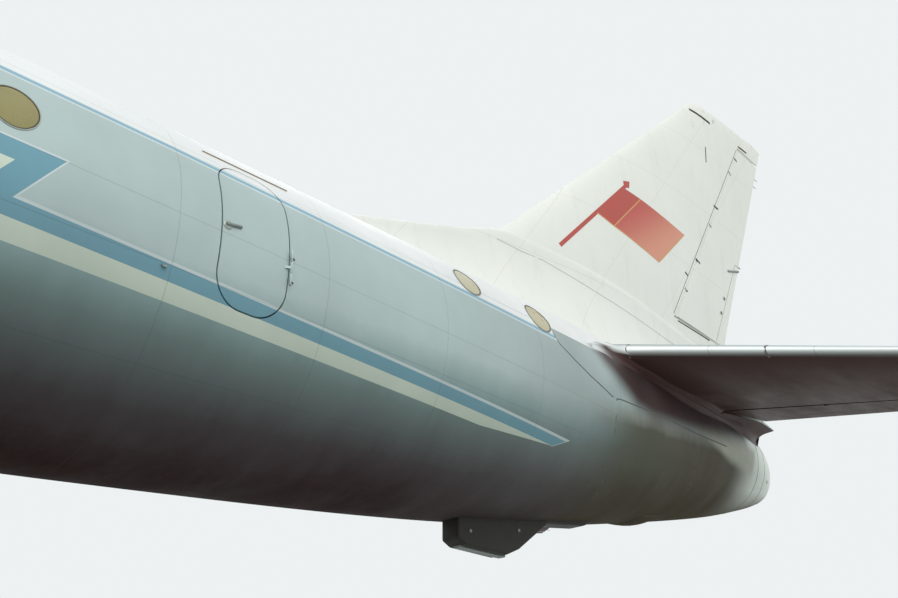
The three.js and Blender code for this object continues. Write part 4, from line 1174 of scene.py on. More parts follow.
def block_behind(hinge_x, sign, plane, depth, reach):
    """Gives a maker of the blocks that lie behind a hinge line, between two spans."""
    def block(low, high, low_back, high_back):
        corners = ((low, low_back), (high, high_back), (high, reach), (low, reach))
        return prism([(hinge_x(key) + back, sign * key) for key, back in corners], plane, *depth)
    return block


def skin_start(radius, travel, slope):
    """How far behind the hinge line the moving skin starts, to stay clear at full travel."""
    turn = math.radians(travel)
    return radius / NOSE_SHARE * math.tan(turn) * math.hypot(1, slope) - SKIN_GAP / math.cos(turn) + 0.002


def chord_station(read, key, share):
    """The station at a share of the chord."""
    x, chord = read(key)[:2]
    return x + share * chord


def nose_radius(read, key, share):
    """Radius of a control surface's round nose that is hinged at a share of the chord."""
    _, chord, *_, thick = read(key)
    return NOSE_SHARE * half_thickness(share, thick) * chord


def hinged(whole, line, radii, block, span, clear, travel, slope, brackets):
    """Splits a control surface with a round nose off a foil and leaves it hanging in brackets."""
    nose = rod(*line, *radii, points=40)
    cove = rod(*line, radii[0] + COVE_GAP, radii[1] + COVE_GAP, points=40)
    behind = block(*span, *[skin_start(radius, travel, slope) for radius in radii])
    nose = combine(nose, block(*span, -TOO_LONG, -TOO_LONG), "INTERSECT")
    moving = combine(whole, combine(behind, nose, "UNION"), "INTERSECT")
    cove = combine(cove, block(*clear, -TOO_LONG, -TOO_LONG), "INTERSECT")
    fixed = combine(whole, combine(block(*clear, -SKIN_GAP, -SKIN_GAP), cove, "UNION"), "DIFFERENCE")
    a, b = Vector(line[0]), Vector(line[1])
    along = (b - a).normalized()
    ahead = (Vector((-1, 0, 0)) + along * along.x).normalized()
    half = BRACKET / 2

    def along_hinge(centre, reach, size, **settings):
        return rod(centre - along * reach, centre + along * reach, size, **settings)

    fittings = []
    for share in brackets:
        centre = a.lerp(b, share)
        radius = radii[0] + (radii[1] - radii[0]) * share
        slot = along_hinge(centre, half + HAIR, radius + 0.026, points=32)
        moving = combine(moving, slot, "DIFFERENCE")
        lug = along_hinge(centre, half, 0.55 * radius, points=32, bevel=0.004)
        arm = rod(centre, centre + ahead * (radius + 3 * BRACKET), 0.3 * BRACKET, points=12)
        pin = along_hinge(centre, half + 0.0002, 0.16 * radius, points=16)
        fittings += [lug, arm, pin]
    return moving, fixed, merged(*fittings)


def wick(edge, y, level, reach, drop=0.0):
    """A static wick that trails behind an edge."""
    return rod((at(edge - 0.01), y, level), (at(edge + reach), y, level - drop), 0.006, 0.003, points=8)


def make_fin():
    whole = foil(FIN, lambda z, row: lambda x, t: (x, t, z))
    low, high = RUDDER["low"], RUDDER["high"]
    slope = (RUDDER["hinge_high"] - RUDDER["hinge_low"]) / (high - low)

    def hinge_station(z):
        return RUDDER["hinge_low"] + slope * (z - low)

    def radius_at(z):
        x, chord = read_fin(z)[:2]
        return nose_radius(read_fin, z, (hinge_station(z) - x) / chord)

    block = block_behind(lambda z: at(hinge_station(z)), 1, "xz", (-0.5, 0.5), 3)
    line = [(at(hinge_station(z)), 0, z) for z in (low - 0.15, high + 0.15)]
    moving, fixed, fittings = hinged(whole, line, (radius_at(low), radius_at(high)), block, (low, high),
                                     (low - END_GAP, high + TIP_GAP), RUDDER["travel"], slope, FIN_BRACKETS)
    fin_parts = [(biggest(fixed), finish.white), (fittings, finish.gear_paint)]
    rudder_parts = [(moving, finish.white)]
    for side in (PORT, STARBOARD):
        surface = fin_side(side)
        fin_parts += fin_marks(surface) + flag(surface)
        rudder_parts += rudder_marks(surface)
    for level in (10.9, 11.1):
        rudder_parts.append((wick(chord_station(read_fin, level, 1), 0, level, 0.11, 0.01), finish.seal))
    piece("fin_skin", fin_parts, "airframe", "white_paint", ("fin",))
    piece("rudder_skin", rudder_parts, "rudder", "white_paint", ("rudder",))


# Marks on the fin's sides: width and the stations and levels that each runs through
HINGE_LINE = (0.010, ((34.81, 6.97), (37.76, 11.41)))
# Open slots, drawn as dark strips that paint the shade inside them: width and path
FIN_SLOTS = (
    (0.05, ((36.2, 11.56), (36.8, 11.52))), (0.022, ((36.50, 10.85), (36.45, 10.5))),
    (0.02, ((34.93, 6.885), (35.96, 6.90))), (0.035, ((37.85, 11.53), (38.2, 11.56))),
    (0.03, ((36.56, 9.66), (36.72, 9.65))), (0.03, ((35.70, 8.27), (35.84, 8.23))),
    (0.03, ((35.29, 7.86), (35.38, 7.83))), (0.03, ((37.62, 11.16), (37.72, 11.13))),
)
TAB_JOINT = (0.014, ((36.22, 6.98), (37.21, 8.75), (37.42, 8.76)))
RUDDER_FITTINGS = ((0.035, ((36.88, 8.50), (37.32, 8.66))), (0.04, ((36.62, 7.90), (36.66, 7.88))),
                   (0.04, ((36.46, 7.58), (36.50, 7.56))))

# Flag on the fin: its staff, the finial, and the two parts of its cloth, by station and level
STAFF = ((32.0, 7.04), (33.78, 8.80))
FINIAL = ((33.73, 8.76), (33.86, 8.79), (33.90, 8.93), (33.74, 8.88))
HOIST = ((33.73, 8.73), (34.13, 8.70), (33.32, 7.88), (32.95, 7.96))
FLY = ((34.14, 8.70), (35.37, 8.57), (34.48, 7.72), (33.33, 7.88))


def fin_marks(surface):
    """Dark strips of painted shade for the open slots, and the hinge line, on one side of the fin."""
    slots = [ribbon(surface, path, width, 0.003, step=0.05) for width, path in FIN_SLOTS]
    width, path = HINGE_LINE
    line = ribbon(surface, path, width, JOINT_LIFT)
    return in_finish(finish.dark_line, *slots) + [(line, finish.joint_line)]


def rudder_marks(surface):
    """The tab's joint, its rod and the heads of its hinge pins."""
    width, path = TAB_JOINT
    joint = ribbon(surface, path, width, JOINT_LIFT)
    raised = [ribbon(surface, path, width, 0.02, round_top=True, step=0.05)
              for width, path in RUDDER_FITTINGS]
    return [(joint, finish.faint_line)] + in_finish(finish.gear_paint, *raised)


def flag(surface):
    """A plain red flag on its staff, brushed on with amber edges."""
    parts = [(panel(surface, FLY, 0.0022), finish.red_enamel)]
    parts += in_finish(finish.dark_red, panel(surface, HOIST, 0.0022), panel(surface, FINIAL, 0.0024),
                       ribbon(surface, STAFF, 0.06, 0.0026))
    edges = [ribbon(surface, path, 0.018, 0.0034) for path in (FLY[1:], HOIST[1:])]
    return parts + in_finish(finish.amber_line, *edges)


read_fillet = smooth_reader(ROOT_FILLET)


def fillet_curve(station, over, shares):
    """Points from the fuselage out to the edge of the root fillet, above (1) or below (-1)."""
    out, edge, up, down, level = read_fillet(station)
    middle, high, half = fuselage_section(station)
    turn = math.asin((level - middle) / high)
    corner = half * math.cos(turn)
    angle = turn + math.radians(up if over > 0 else -down)
    start = np.array((half * math.cos(angle), middle + high * math.sin(angle)))
    bend = np.array((corner + 0.03, level + over * edge))
    reach = np.array((corner + out, level + over * edge))
    return [tuple((1 - t) ** 2 * start + 2 * t * (1 - t) * bend + t * t * reach) for t in shares]


def root_fillet():
    rings = []
    shares = np.linspace(0, 1, 13)
    for s in stations(ROOT_FILLET[0][0], ROOT_FILLET[-1][0], 0.08):
        under = fillet_curve(s, -1, shares)
        ring = fillet_curve(s, 1, shares) + under[::-1] + [(0.8 * under[0][0], under[-1][1])]
        rings.append([(at(s), PORT * y, z) for y, z in ring])
    return loft(rings)


# Tailplane details by span: lap straps on the leading edge, static wicks, and the ends of the tab's joint
STRAPS, TAIL_WICKS, TAIL_TAB = (1.14, 2.36, 4.2), (4.9, 5.3, 5.6), (1.6, 3.1)
# Welt under the root fillet: station and share of the way out
FILLET_WELT = ((32.3, 0.45), (33.4, 0.55), (34.6, 0.6), (35.3, 0.6))


def make_tailplanes():
    whole = foil(TAILPLANE, lambda y, row: lambda x, t: (x, PORT * y, TAILPLANE_LEVEL + t))
    whole = combine(whole, root_fillet(), "UNION")
    inner, outer, inset, travel = ELEVATOR.values()

    def hinge_station(y):
        return chord_station(read_tailplane, y, inset)

    slope = (hinge_station(outer) - hinge_station(inner)) / (outer - inner)
    block = block_behind(lambda y: at(hinge_station(y)), PORT, "xy", (4.8, 5.7), 3.5)
    line = [(at(hinge_station(y) + past * slope), PORT * (y + past), TAILPLANE_LEVEL)
            for y, past in ((inner, -0.15), (outer, 0.1))]
    radii = [nose_radius(read_tailplane, y, inset) for y in (inner, outer)]
    moving, fixed, fittings = hinged(whole, line, radii, block, (inner, outer),
                                     (inner - END_GAP, outer + END_GAP), travel, slope, (0.25, 0.75))
    fixed = combine(fixed, fuselage_skin(30.5, TAIL_END, HAIR, 0.1), "DIFFERENCE")

    def under_fillet(station, share, lift):
        y, z = fillet_curve(station, -1, (share,))[0]
        return at(station), PORT * (y + 0.6 * lift), z - 0.8 * lift

    welt = ribbon(under_fillet, FILLET_WELT, 0.08, 0.014, round_top=True)
    straps = []
    for y in STRAPS:
        edge = read_tailplane(y)[0]
        path = ((edge + 0.001, y), (edge + 0.1, y))
        straps += [ribbon(foil_side(read_tailplane, over), path, 0.02, 0.004, step=0.01) for over in (-1, 1)]
    parts = [(biggest(fixed), finish.tail_sheet), (fittings, finish.gear_paint), (welt, finish.tail_sheet)]
    parts += in_finish(finish.joint_line, *straps)
    pair("tailplane_skin", parts, "airframe", "skin", ("tailplane_{}",))
    wicks = [wick(chord_station(read_tailplane, y, 1), PORT * y, TAILPLANE_LEVEL, 0.10) for y in TAIL_WICKS]
    path = [(hinge_station(y) + 0.68 * 0.3 * read_tailplane(y)[1], y) for y in TAIL_TAB]
    tab = [ribbon(foil_side(read_tailplane, over), path, JOINT_WIDTH, 0.0012) for over in (-1, 1)]
    parts = [(moving, finish.tail_sheet)] + in_finish(finish.seal, *wicks)
    parts += in_finish(finish.joint_line, *tab)
    pair("elevator_skin", parts, "elevator_{}", "skin", ("elevator_{}",))


def pod_skin(grow=0.0):
    read = smooth_reader(GEAR_POD)
    rings = []
    for s in stations(GEAR_POD[0][0], GEAR_POD[-1][0], 0.12, (16.28, 16.34, 16.45)):
        level, half, high = read(s)
        rings.append(oval(s, PORT * GEAR_Y, level, half + grow, high + grow, 56))
    return loft(rings)


# Outline of a fence: share of the chord, and height above the skin as a share of the fence's
FENCE = ((0.02, 0), (0.04, 0.55), (0.1, 1), (0.3, 1), (0.5, 1), (0.62, 0.6), (0.7, 0))


def fence(y, high):
    x, chord, level, thick = read_wing(y)
    top = [(share, level + half_thickness(share, thick) * chord + lift * high) for share, lift in FENCE]
    outline = [(0.03, level)] + top + [(0.7, level)]
    return prism([(at(x + s * chord), z) for s, z in outline], "xz", PORT * y - 0.012, PORT * y + 0.012)


# Wing details by span: the ends of each flap and the share of the chord that it starts at, tab and wicks
FLAPS = ((3.55, 5.0, 0.78), (6.3, 11.5, 0.74))
WING_TAB, WING_WICKS = (12.0, 13.6), (15.6, 16.1, 16.5)
TIP_LAMP = ((0.03, 0.05), (0.06, 0.035), (0.08, 0.01), (0.085, -0.01))


def whole_wing():
    return foil(WING, lambda y, row: lambda x, t: (x, PORT * y, row[2] + t), step=0.6)


def make_wings():
    outboard = box((at(11), at(30)), (PORT * 20, PORT * (ROOT_SPLIT + HAIR)), (1, 5))
    outer_wing = combine(whole_wing(), outboard, "INTERSECT")
    inner, outer, inset, travel = AILERON.values()

    def hinge_point(y):
        return Vector((at(chord_station(read_wing, y, inset)), PORT * y, read_wing(y)[2]))

    line = [hinge_point(inner - 0.12), hinge_point(outer + 0.12)]
    slope = (line[1].x - line[0].x) / (outer - inner + 0.24)
    block = block_behind(lambda y: hinge_point(y).x, PORT, "xy", (2.0, 3.6), 3)
    radii = [nose_radius(read_wing, y, inset) for y in (inner, outer)]
    moving, fixed, fittings = hinged(outer_wing, line, radii, block, (inner, outer),
                                     (inner - END_GAP, outer + END_GAP), travel, slope, (0.2, 0.8))
    fixed = biggest(combine(fixed, pod_skin(HAIR), "DIFFERENCE"))
    parts = [(fixed, finish.wing_sheet), (fittings, finish.gear_paint)]
    parts += in_finish(finish.wing_sheet, *[fence(y, high) for y, high in FENCES])
    tab = []
    for over in (-1, 1):
        surface = foil_side(read_wing, over)
        for first, last, share in FLAPS:
            paths = [[(chord_station(read_wing, y, share), y) for y in (first, last)]]
            paths += [[(chord_station(read_wing, y, s), y) for s in (share, 0.985)] for y in (first, last)]
            parts += in_finish(finish.joint_line, *[ribbon(surface, path, 0.02, 0.002) for path in paths])
        path = [(chord_station(read_wing, y, 0.92), y) for y in WING_TAB]
        tab.append((ribbon(surface, path, JOINT_WIDTH, JOINT_LIFT), finish.joint_line))
    lamp = disc(foil_side(read_wing, 1), (read_wing(17.12)[0] + 0.25, 17.0), TIP_LAMP, 24)
    pair("wing_skin", parts, "airframe", "skin", ("wing_{}",))
    piece("port_lamp", [(lamp, finish.lamp_red)], "airframe", "glazing")
    piece("starboard_lamp", [(mirrored(lamp), finish.lamp_green)], "airframe", "glazing")
    wicks = [wick(chord_station(read_wing, y, 1), PORT * y, read_wing(y)[2], 0.12) for y in WING_WICKS]
    parts = [(moving, finish.wing_sheet)] + tab + in_finish(finish.seal, *wicks)
    pair("aileron_skin", parts, "aileron_{}", "skin", ("aileron_{}",))


# Engines
# Lip of the intake: distance ahead of the first row, and how far the cowl and the duct curl away from it
LIP_ROWS = ((-0.022, 0), (-0.012, 0.018))
LIP_STATIONS = (11.62, 11.5, 11.42, 11.37, 11.345, 11.333)
LIP_PROUD = 0.0015
JET_PIPE = ((0, 0.50), (0, 0.535), (0.5, 0.533), (0.92, 0.525), (0.925, 0.515), (0.92, 0.505), (0.5, 0.51),
            (0, 0.50))
COWL_JOINTS = (12.9, 15.1, 17.9, 19.9)


def make_nacelles():
    root = combine(whole_wing(), box((at(11), at(30)), (PORT * ROOT_SPLIT, 0), (1, 5)), "INTERSECT")
    first, y, level, cowl_radius, duct_radius = NACELLE[0]
    lip = (cowl_radius + duct_radius) / 2
    outer_rows = [(first + shift, y, level, lip + curl) for shift, curl in LIP_ROWS]
    outer_rows += [(first + 0.01, y, level, cowl_radius + 0.006)] + [row[:4] for row in NACELLE[1:]]
    duct_rows = [(first + shift, y, level, lip - curl) for shift, curl in LIP_ROWS]
    duct_rows += [(first + 0.01, y, level, duct_radius - 0.004)] + [(*row[:3], row[4]) for row in NACELLE[1:]]
    read_outer, read_duct = smooth_reader(outer_rows), smooth_reader(duct_rows)

    def nacelle_ring(station, y, level, radius):
        return oval(station, PORT * y, level, radius, radius, 72)

    keys = stations(outer_rows[0][0], outer_rows[-1][0], 0.14, [row[0] for row in outer_rows])
    back = NACELLE[-1]
    duct = [nacelle_ring(first - 0.08, y, level, lip)] + [nacelle_ring(s, *read_duct(s)) for s in keys]
    duct.append(nacelle_ring(back[0] + 0.06, *back[1:3], back[4]))
    # The fuselage is cut from the cowl and the root apart, as the joined skin is too intricate to cut
    cowl = loft([nacelle_ring(s, *read_outer(s)) for s in keys])
    cowl = combine(cowl, fuselage_skin(10.5, 22.6, HAIR, 0.3), "DIFFERENCE")
    root = combine(root, fuselage_skin(10.4, 22.7, 4 * HAIR, 0.29), "DIFFERENCE")
    shell = biggest(combine(combine(cowl, root, "UNION"), loft(duct), "DIFFERENCE"))
    section = [(station, read_outer(station)[2] + LIP_PROUD) for station in LIP_STATIONS]
    section += [(first - 0.0235, lip)]
    section += [(station, read_duct(station)[2] - LIP_PROUD) for station in LIP_STATIONS[:0:-1]]
    section += [(11.5, lip + 0.02), (11.62, lip + 0.06)]
    rings = [[(at(station), PORT * y + radius * c, level + radius * s) for station, radius in section]
             for c, s in circle(72)]
    pipe = turned((at(20.8), PORT * 2.572, 2.89), (at(21.72), PORT * 2.605, 2.878), JET_PIPE, 64)
    parts = [(shell, finish.pod_sheet), (loft(rings + rings[:1], ends=False), finish.polished),
             (pipe, finish.hot_steel)]
    read = smooth_reader(NACELLE)
    band = ((-0.008, -0.01), (-0.008, JOINT_LIFT), (0.008, JOINT_LIFT), (0.008, -0.01))
    under = [math.radians(turn) for turn in range(190, 351, 4)]
    for station in COWL_JOINTS:
        y, level, outer, _ = read(station)
        rings = [[(at(station + s), PORT * y + (outer + h) * math.cos(t), level + (outer + h) * math.sin(t))
                  for s, h in band] for t in under]
        parts.append((loft(rings), finish.joint_line))
    pair("engine_nacelle_skin", parts, "airframe", "skin", ("engine_nacelle_{}",))


# Engine: intake bullet, guide vanes by radius, twist and half chord, and profiles by distance and radius
BULLET_LENGTH, BULLET_RADIUS = 0.7, 0.26
VANE_COUNT, VANE_ROWS = 26, ((0.22, 12, 0.05), (0.42, 24, 0.047), (0.61, 36, 0.043))
VANE_RING = ((0, 0.40), (0, 0.43), (0.02, 0.43), (0.02, 0.40))
REAR_CONE = ((0, 0.30), (0.25, 0.285), (0.55, 0.2), (0.8, 0.09), (0.9, 0.03))
TURBINE = ((0, 0.6), (0.03, 0.6), (0.03, 0.3), (0.05, 0.29))
STRUT_COUNT, STRUT_TURN = 6, 0.3


def vane(hub, radial, around):
    """One twisted guide vane on its hub."""
    rings = []
    for radius, twist, half in VANE_ROWS:
        centre = hub + radial * radius
        ahead = Vector((-math.cos(math.radians(twist)), 0, 0)) + around * math.sin(math.radians(twist))
        thick = ahead.cross(radial).normalized() * 0.004
        rings.append([centre + ahead * half, centre + thick, centre - ahead * half, centre - thick])
    return loft(rings)


def make_engines():
    read = smooth_reader(NACELLE)
    front, back = [Vector((at(station), PORT * read(station)[0], read(station)[1]))
                   for station in (ENGINE_FACE, ENGINE_BACK)]

    def aft(point, shift):
        return point + Vector((shift, 0, 0))

    casing = rod(front, back, ENGINE_RADIUS - 0.004, points=48)
    nose = [(BULLET_LENGTH * (1 - math.cos(a)), BULLET_RADIUS * math.sin(a) ** 0.8)
            for a in np.linspace(0.05, math.pi / 2, 14)]
    bullet = turned(aft(front, -BULLET_LENGTH), front, nose, 40)
    vanes = [vane(aft(front, -0.07), Vector((0, c, s)), Vector((0, -s, c))) for c, s in circle(VANE_COUNT)]
    ring = turned(aft(front, -0.02), front, VANE_RING, 48)
    cone = turned(back, aft(back, 0.9), REAR_CONE, 40)
    turbine = turned(aft(back, 0.01), aft(back, 0.06), TURBINE, 48)
    struts = []
    base = aft(back, 0.2)
    for k in range(STRUT_COUNT):
        angle = 2 * math.pi * k / STRUT_COUNT + STRUT_TURN
        radial = Vector((0, math.cos(angle), math.sin(angle)))
        around = Vector((0, -math.sin(angle), math.cos(angle)))
        struts.append(plate(base + radial * 0.24, base + radial * 0.56, 0.09, 0.02, around))
    parts = [(casing, finish.duct), (bullet, finish.polished), (ring, finish.blade)]
    parts += in_finish(finish.hot_steel, cone, turbine)
    parts += in_finish(finish.blade, *vanes) + in_finish(finish.hot_steel, *struts)
    pair("engine_core", parts, "airframe", "engine_metal", ("engine_{}",))


# Landing gear
# Joints of the gear pod's doors: stations and turns in degrees that each runs through
POD_JOINTS = (((17.3, -90), (21.6, -90)), ((17.3, -40), (21.6, -40)), ((17.3, -140), (21.6, -140)),
              ((17.3, -140), (17.3, -40)), ((21.6, -140), (21.6, -40)), ((20.9, -140), (20.9, -40)))


def make_pods():
    parts = [(pod_skin(), finish.pod_sheet)]
    read = smooth_reader(GEAR_POD)

    def surface(station, turn, lift):
        level, half, high = read(station)
        a = math.radians(turn)
        return (at(station), PORT * GEAR_Y + (half + lift) * math.cos(a), level + (high + lift) * math.sin(a))

    for path in POD_JOINTS:
        # A joint that runs round the pod has its width along it and its length in degrees
        width, step = (JOINT_WIDTH, 6) if path[0][0] == path[1][0] else (1.3, 0.12)
        parts.append((ribbon(surface, path, width, JOINT_LIFT, step=step), finish.joint_line))
    pair("gear_pod_skin", parts, "airframe", "skin", ("gear_pod_{}",))


# Tyre and hub: distance from the middle in half widths, or from the outer face, and share of the radius
TYRE_SIDE = ((-0.50, 0.52), (-0.86, 0.55), (-0.99, 0.70), (-0.97, 0.84), (-0.84, 0.955), (-0.66, 0.99))
GROOVES = (-0.45, -0.15, 0.15, 0.45)
GROOVE = ((-0.045, 1.0), (-0.04, 0.972), (0.04, 0.972), (0.045, 1.0))
HUB = ((0.30, 0.12), (0.22, 0.2), (0.22, 0.3), (0.10, 0.40), (0.10, 0.5), (0.2, 0.55), (1.8, 0.55),
       (1.9, 0.5), (1.9, 0.40), (1.78, 0.3), (1.78, 0.2), (1.70, 0.12))
HUB_BOLTS = 10


def wheel_parts(x, y, radius, width):
    """A grooved tyre on a bolted hub with its caps."""
    half = width / 2
    axis = ((x, y - half, radius), (x, y + half, radius))
    tread = [(half + h * half, r * radius) for h, r in TYRE_SIDE]
    tread += [(half + (groove + h) * half, r * radius - 0.0004) for groove in GROOVES for h, r in GROOVE]
    tread += [(half - h * half, r * radius) for h, r in reversed(TYRE_SIDE)]
    hub = turned(*axis, [(h * half, r * radius) for h, r in HUB], 48)
    parts = [(turned(*axis, tread, 72), finish.tyre), (hub, finish.hub)]
    for side in (-1, 1):
        face = y + side * half * 0.80
        for c, s in circle(HUB_BOLTS):
            spot_x, spot_z = x + 0.25 * radius * c, radius + 0.25 * radius * s
            bolt = rod((spot_x, face - 0.02, spot_z), (spot_x, face + 0.02, spot_z), 0.013, points=6)
            parts.append((bolt, finish.gear_paint))
        start, end = y + side * half * 0.98, y + side * (half * 0.98 - 0.06)
        profile = ((0, 0.07 * radius), (0.02, 0.11 * radius), (0.06, 0.12 * radius))
        parts.append((turned((x, start, radius), (x, end, radius), profile, 24), finish.gear_paint))
    return parts


def wheel_set(x, y, gear):
    """Two wheels on their axle with a brake drum inside each."""
    radius, width, half = gear["tyre"], gear["width"], gear["half"]
    parts = []
    for side in (-1, 1):
        parts += wheel_parts(x, y + side * half, radius, width)
    axle = rod((x, y - half - 0.05, radius), (x, y + half + 0.05, radius), 0.0615, points=28)
    drums = [rod((x, y + side * (half - width * 0.62), radius), (x, y + side * (half - width * 0.36), radius),
                 0.36 * radius, points=40, bevel=0.01) for side in (-1, 1)]
    return parts + [(axle, finish.piston)] + in_finish(finish.keel_paint, *drums)


def make_wheels():
    for name, offset in (("front", -MAIN_GEAR["axle"]), ("rear", MAIN_GEAR["axle"])):
        parts = wheel_set(at(MAIN_GEAR["station"] + offset), PORT * GEAR_Y, MAIN_GEAR)
        node = f"main_{name}_wheels_{{}}"
        pair(f"main_{name}_tyres", parts, node, "tyre_rubber", (node,))
    nose = wheel_set(at(NOSE_GEAR["station"]), 0, NOSE_GEAR)
    piece("nose_tyres", nose, "nose_wheels", "tyre_rubber", ("nose_wheels",))


def torque_links(knee, ends, spread, half, thick, knee_half, pin):
    """Two pairs of link plates that meet at a knee, and the pin through it."""
    parts = []
    for end in ends:
        for shift in (-spread, spread):
            out = Vector((0, shift, 0))
            link = plate(Vector(end) + out, Vector(knee) + out, half, thick, (0, 1, 0), knee_half)
            parts.append((link, finish.gear_paint))
    reach = Vector((0, spread + 0.015, 0))
    return parts + [(rod(Vector(knee) - reach, Vector(knee) + reach, pin, points=16), finish.piston)]


# Strut profiles: distance down or up the strut, and radius
MAIN_STRUT = ((0, 0.12), (0.02, 0.155), (0.1, 0.155), (0.12, 0.15), (0.5, 0.15), (0.52, 0.165), (0.6, 0.165),
              (0.62, 0.155), (1.2, 0.16))
NOSE_STRUT = ((0, 0.12), (0.08, 0.125), (0.1, 0.115), (0.5, 0.118), (0.52, 0.13), (0.6, 0.13), (0.62, 0.12),
              (0.95, 0.128))
TAXI_LAMP = ((0, 0.03), (0.05, 0.075), (0.1, 0.08), (0.108, 0.07))
AXLE_BORE = 0.0625
# Brake hose beside the main strut: shift aft and outboard of its centre, and level
BRAKE_HOSE = ((-0.12, 0.1, 1.9), (-0.16, 0.13, 1.4), (-0.3, 0.14, 0.95), (-0.45, 0.11, 0.68))


def make_main_legs():
    x, y, tyre, axle = at(MAIN_GEAR["station"]), PORT * GEAR_Y, MAIN_GEAR["tyre"], MAIN_GEAR["axle"]
    beam = box((x - axle - 0.12, x + axle + 0.12), (y - 0.105, y + 0.105), (tyre - 0.11, tyre + 0.11))
    beam = bevelled(beam, 0.03, 3, 0.5)
    for offset in (-axle, axle):
        bore = rod((x + offset, y - 0.2, tyre), (x + offset, y + 0.2, tyre), AXLE_BORE, points=32)
        beam = combine(beam, bore, "DIFFERENCE")
    piston = rod((x, y, tyre + 0.06), (x - 0.02, y, 1.5), 0.085, points=32)
    upper = turned((x - 0.02, y, 1.4), (x - 0.06, y, 2.6), MAIN_STRUT, 32)
    brace = rod((x - 0.02, y, 1.5), (x - 1.25, y, 2.5), 0.055, points=20)
    parts = [(beam, finish.gear_paint), (piston, finish.piston)] + in_finish(finish.gear_paint, upper, brace)
    parts += torque_links((x + 0.4, y, 1.08), ((x + 0.09, y, 1.45), (x + 0.09, y, 0.72)), 0.035, 0.05, 0.014,
                          0.032, 0.018)
    hose = bend_path([(x + aft, y + out, level) for aft, out, level in BRAKE_HOSE])
    parts.append((tube(hose, 0.012), finish.seal))
    pair("main_leg_strut", parts, "airframe", "gear_steel", ("main_leg_{}",))


# Outline of a nose gear door: distance aft of the gear, and level
NOSE_DOOR = ((-0.9, 1.84), (-0.84, 1.78), (0.72, 1.78), (0.8, 1.82), (0.89, 1.93), (0.9, 1.98), (0.9, 2.56),
             (-0.9, 2.56), (-1.0, 2.3))
NOSE_DOOR_BARS = (-0.6, -0.2, 0.2, 0.6)


def make_nose_gear():
    station, tyre, lift = NOSE_GEAR["station"], NOSE_GEAR["tyre"], NOSE_GEAR["lift"]
    x = at(station)
    leg_x = x - 0.06
    leg = turned((leg_x, 0, lift), (leg_x, 0, 2.45), NOSE_STRUT, 32)
    brace = rod((leg_x, 0, lift + 0.12), (x + 0.9, 0, 2.42), 0.05, points=20)
    lamp = turned((x - 0.16, 0, 1.95), (x - 0.27, 0, 1.95), TAXI_LAMP, 28)
    parts = in_finish(finish.gear_paint, leg, brace) + [(lamp, finish.rim)]
    piece("nose_leg_strut", parts, "airframe", "gear_steel", ("nose_leg",))
    piston = rod((leg_x, 0, tyre + 0.14), (leg_x, 0, lift - 0.15), 0.07, points=32)
    head = rod((leg_x, 0, lift - 0.2), (leg_x, 0, lift - 0.0004), 0.12, points=32, bevel=0.008)
    foot = bevelled(box((x - 0.15, x + 0.095), (-0.07, 0.07), (tyre - 0.095, tyre + 0.17)), 0.02, 3, 0.5)
    foot = combine(foot, rod((x, -0.2, tyre), (x, 0.2, tyre), AXLE_BORE, points=32), "DIFFERENCE")
    parts = [(piston, finish.piston)] + in_finish(finish.gear_paint, head, foot)
    parts += torque_links((x + 0.3, 0, 0.95), ((x + 0.02, 0, lift - 0.12), (x + 0.06, 0, tyre + 0.12)), 0.03,
                          0.04, 0.012, 0.028, 0.015)
    piece("nose_fork_strut", parts, "nose_fork", "gear_steel", ("nose_fork",))
    outline = [(at(station + aft), level) for aft, level in NOSE_DOOR]
    door = prism(outline, "xz", PORT * 0.52, PORT * 0.48)
    door = combine(door, fuselage_skin(station - 1.3, station + 1.3, HAIR, 0.1), "DIFFERENCE")
    bars = [box((x + aft - 0.015, x + aft + 0.015), (PORT * 0.485, PORT * 0.462), (1.85, 2.28))
            for aft in NOSE_DOOR_BARS]
    parts = [(biggest(door), finish.livery)] + in_finish(finish.gear_paint, *bars)
    pair("nose_gear_door_panel", parts, "airframe", "skin", ("nose_gear_door_{}",))


# Aerials on the crown: station and height; their outline runs aft and up to that height
AERIALS = ((9.2, 0.26), (14.6, 0.3), (19.4, 0.26))
AERIAL = ((0, 0), (0.1, 1), (0.2, 1), (0.32, 0))
AERIAL_LEVEL = 5.775
PROBE = (1.9, 3.9)
TAIL_LAMP = ((0.012, 0.02), (0.026, 0.012), (0.03, -0.005))
BEACON = ((0, 0.075), (0.06, 0.07), (0.1, 0.05), (0.125, 0.02))


def make_fittings():
    """Blade aerials, probes and lamps along the fuselage."""
    parts = []
    for station, high in AERIALS:
        outline = [(at(station + aft), AERIAL_LEVEL + (high if up else -0.03)) for aft, up in AERIAL]
        parts.append((prism(outline, "xz", -0.009, 0.009), finish.white))
    for side in (PORT, STARBOARD):
        start, out = [fuselage_side(side)(*PROBE, lift) for lift in (-0.02, 0.09)]
        parts.append((tube((start, out, (out[0] - 0.28, out[1], out[2])), 0.012), finish.rim))
    parts.append((disc(fuselage_side(PORT), (36.55, 4.62), TAIL_LAMP, 20), finish.lamp_clear))
    parts.append((turned((at(16.5), 0, 5.77), (at(16.5), 0, 5.9), BEACON, 28), finish.lamp_red))
    piece("aerials_and_lamps", parts, "airframe", "dark_paint")


# Stage
# Softboxes: name, place, size, power in watts and the point that each is turned to
SOFTBOXES = (("key softbox", (-2, -26, 30), 26, 4500, (8, 0, 5)),
             ("fill softbox", (30, 22, 24), 24, 2000, (6, 0, 5)))
FLOOR_SPOKES, FLOOR_RINGS, FLOOR_LEVEL = 96, 24, -0.001


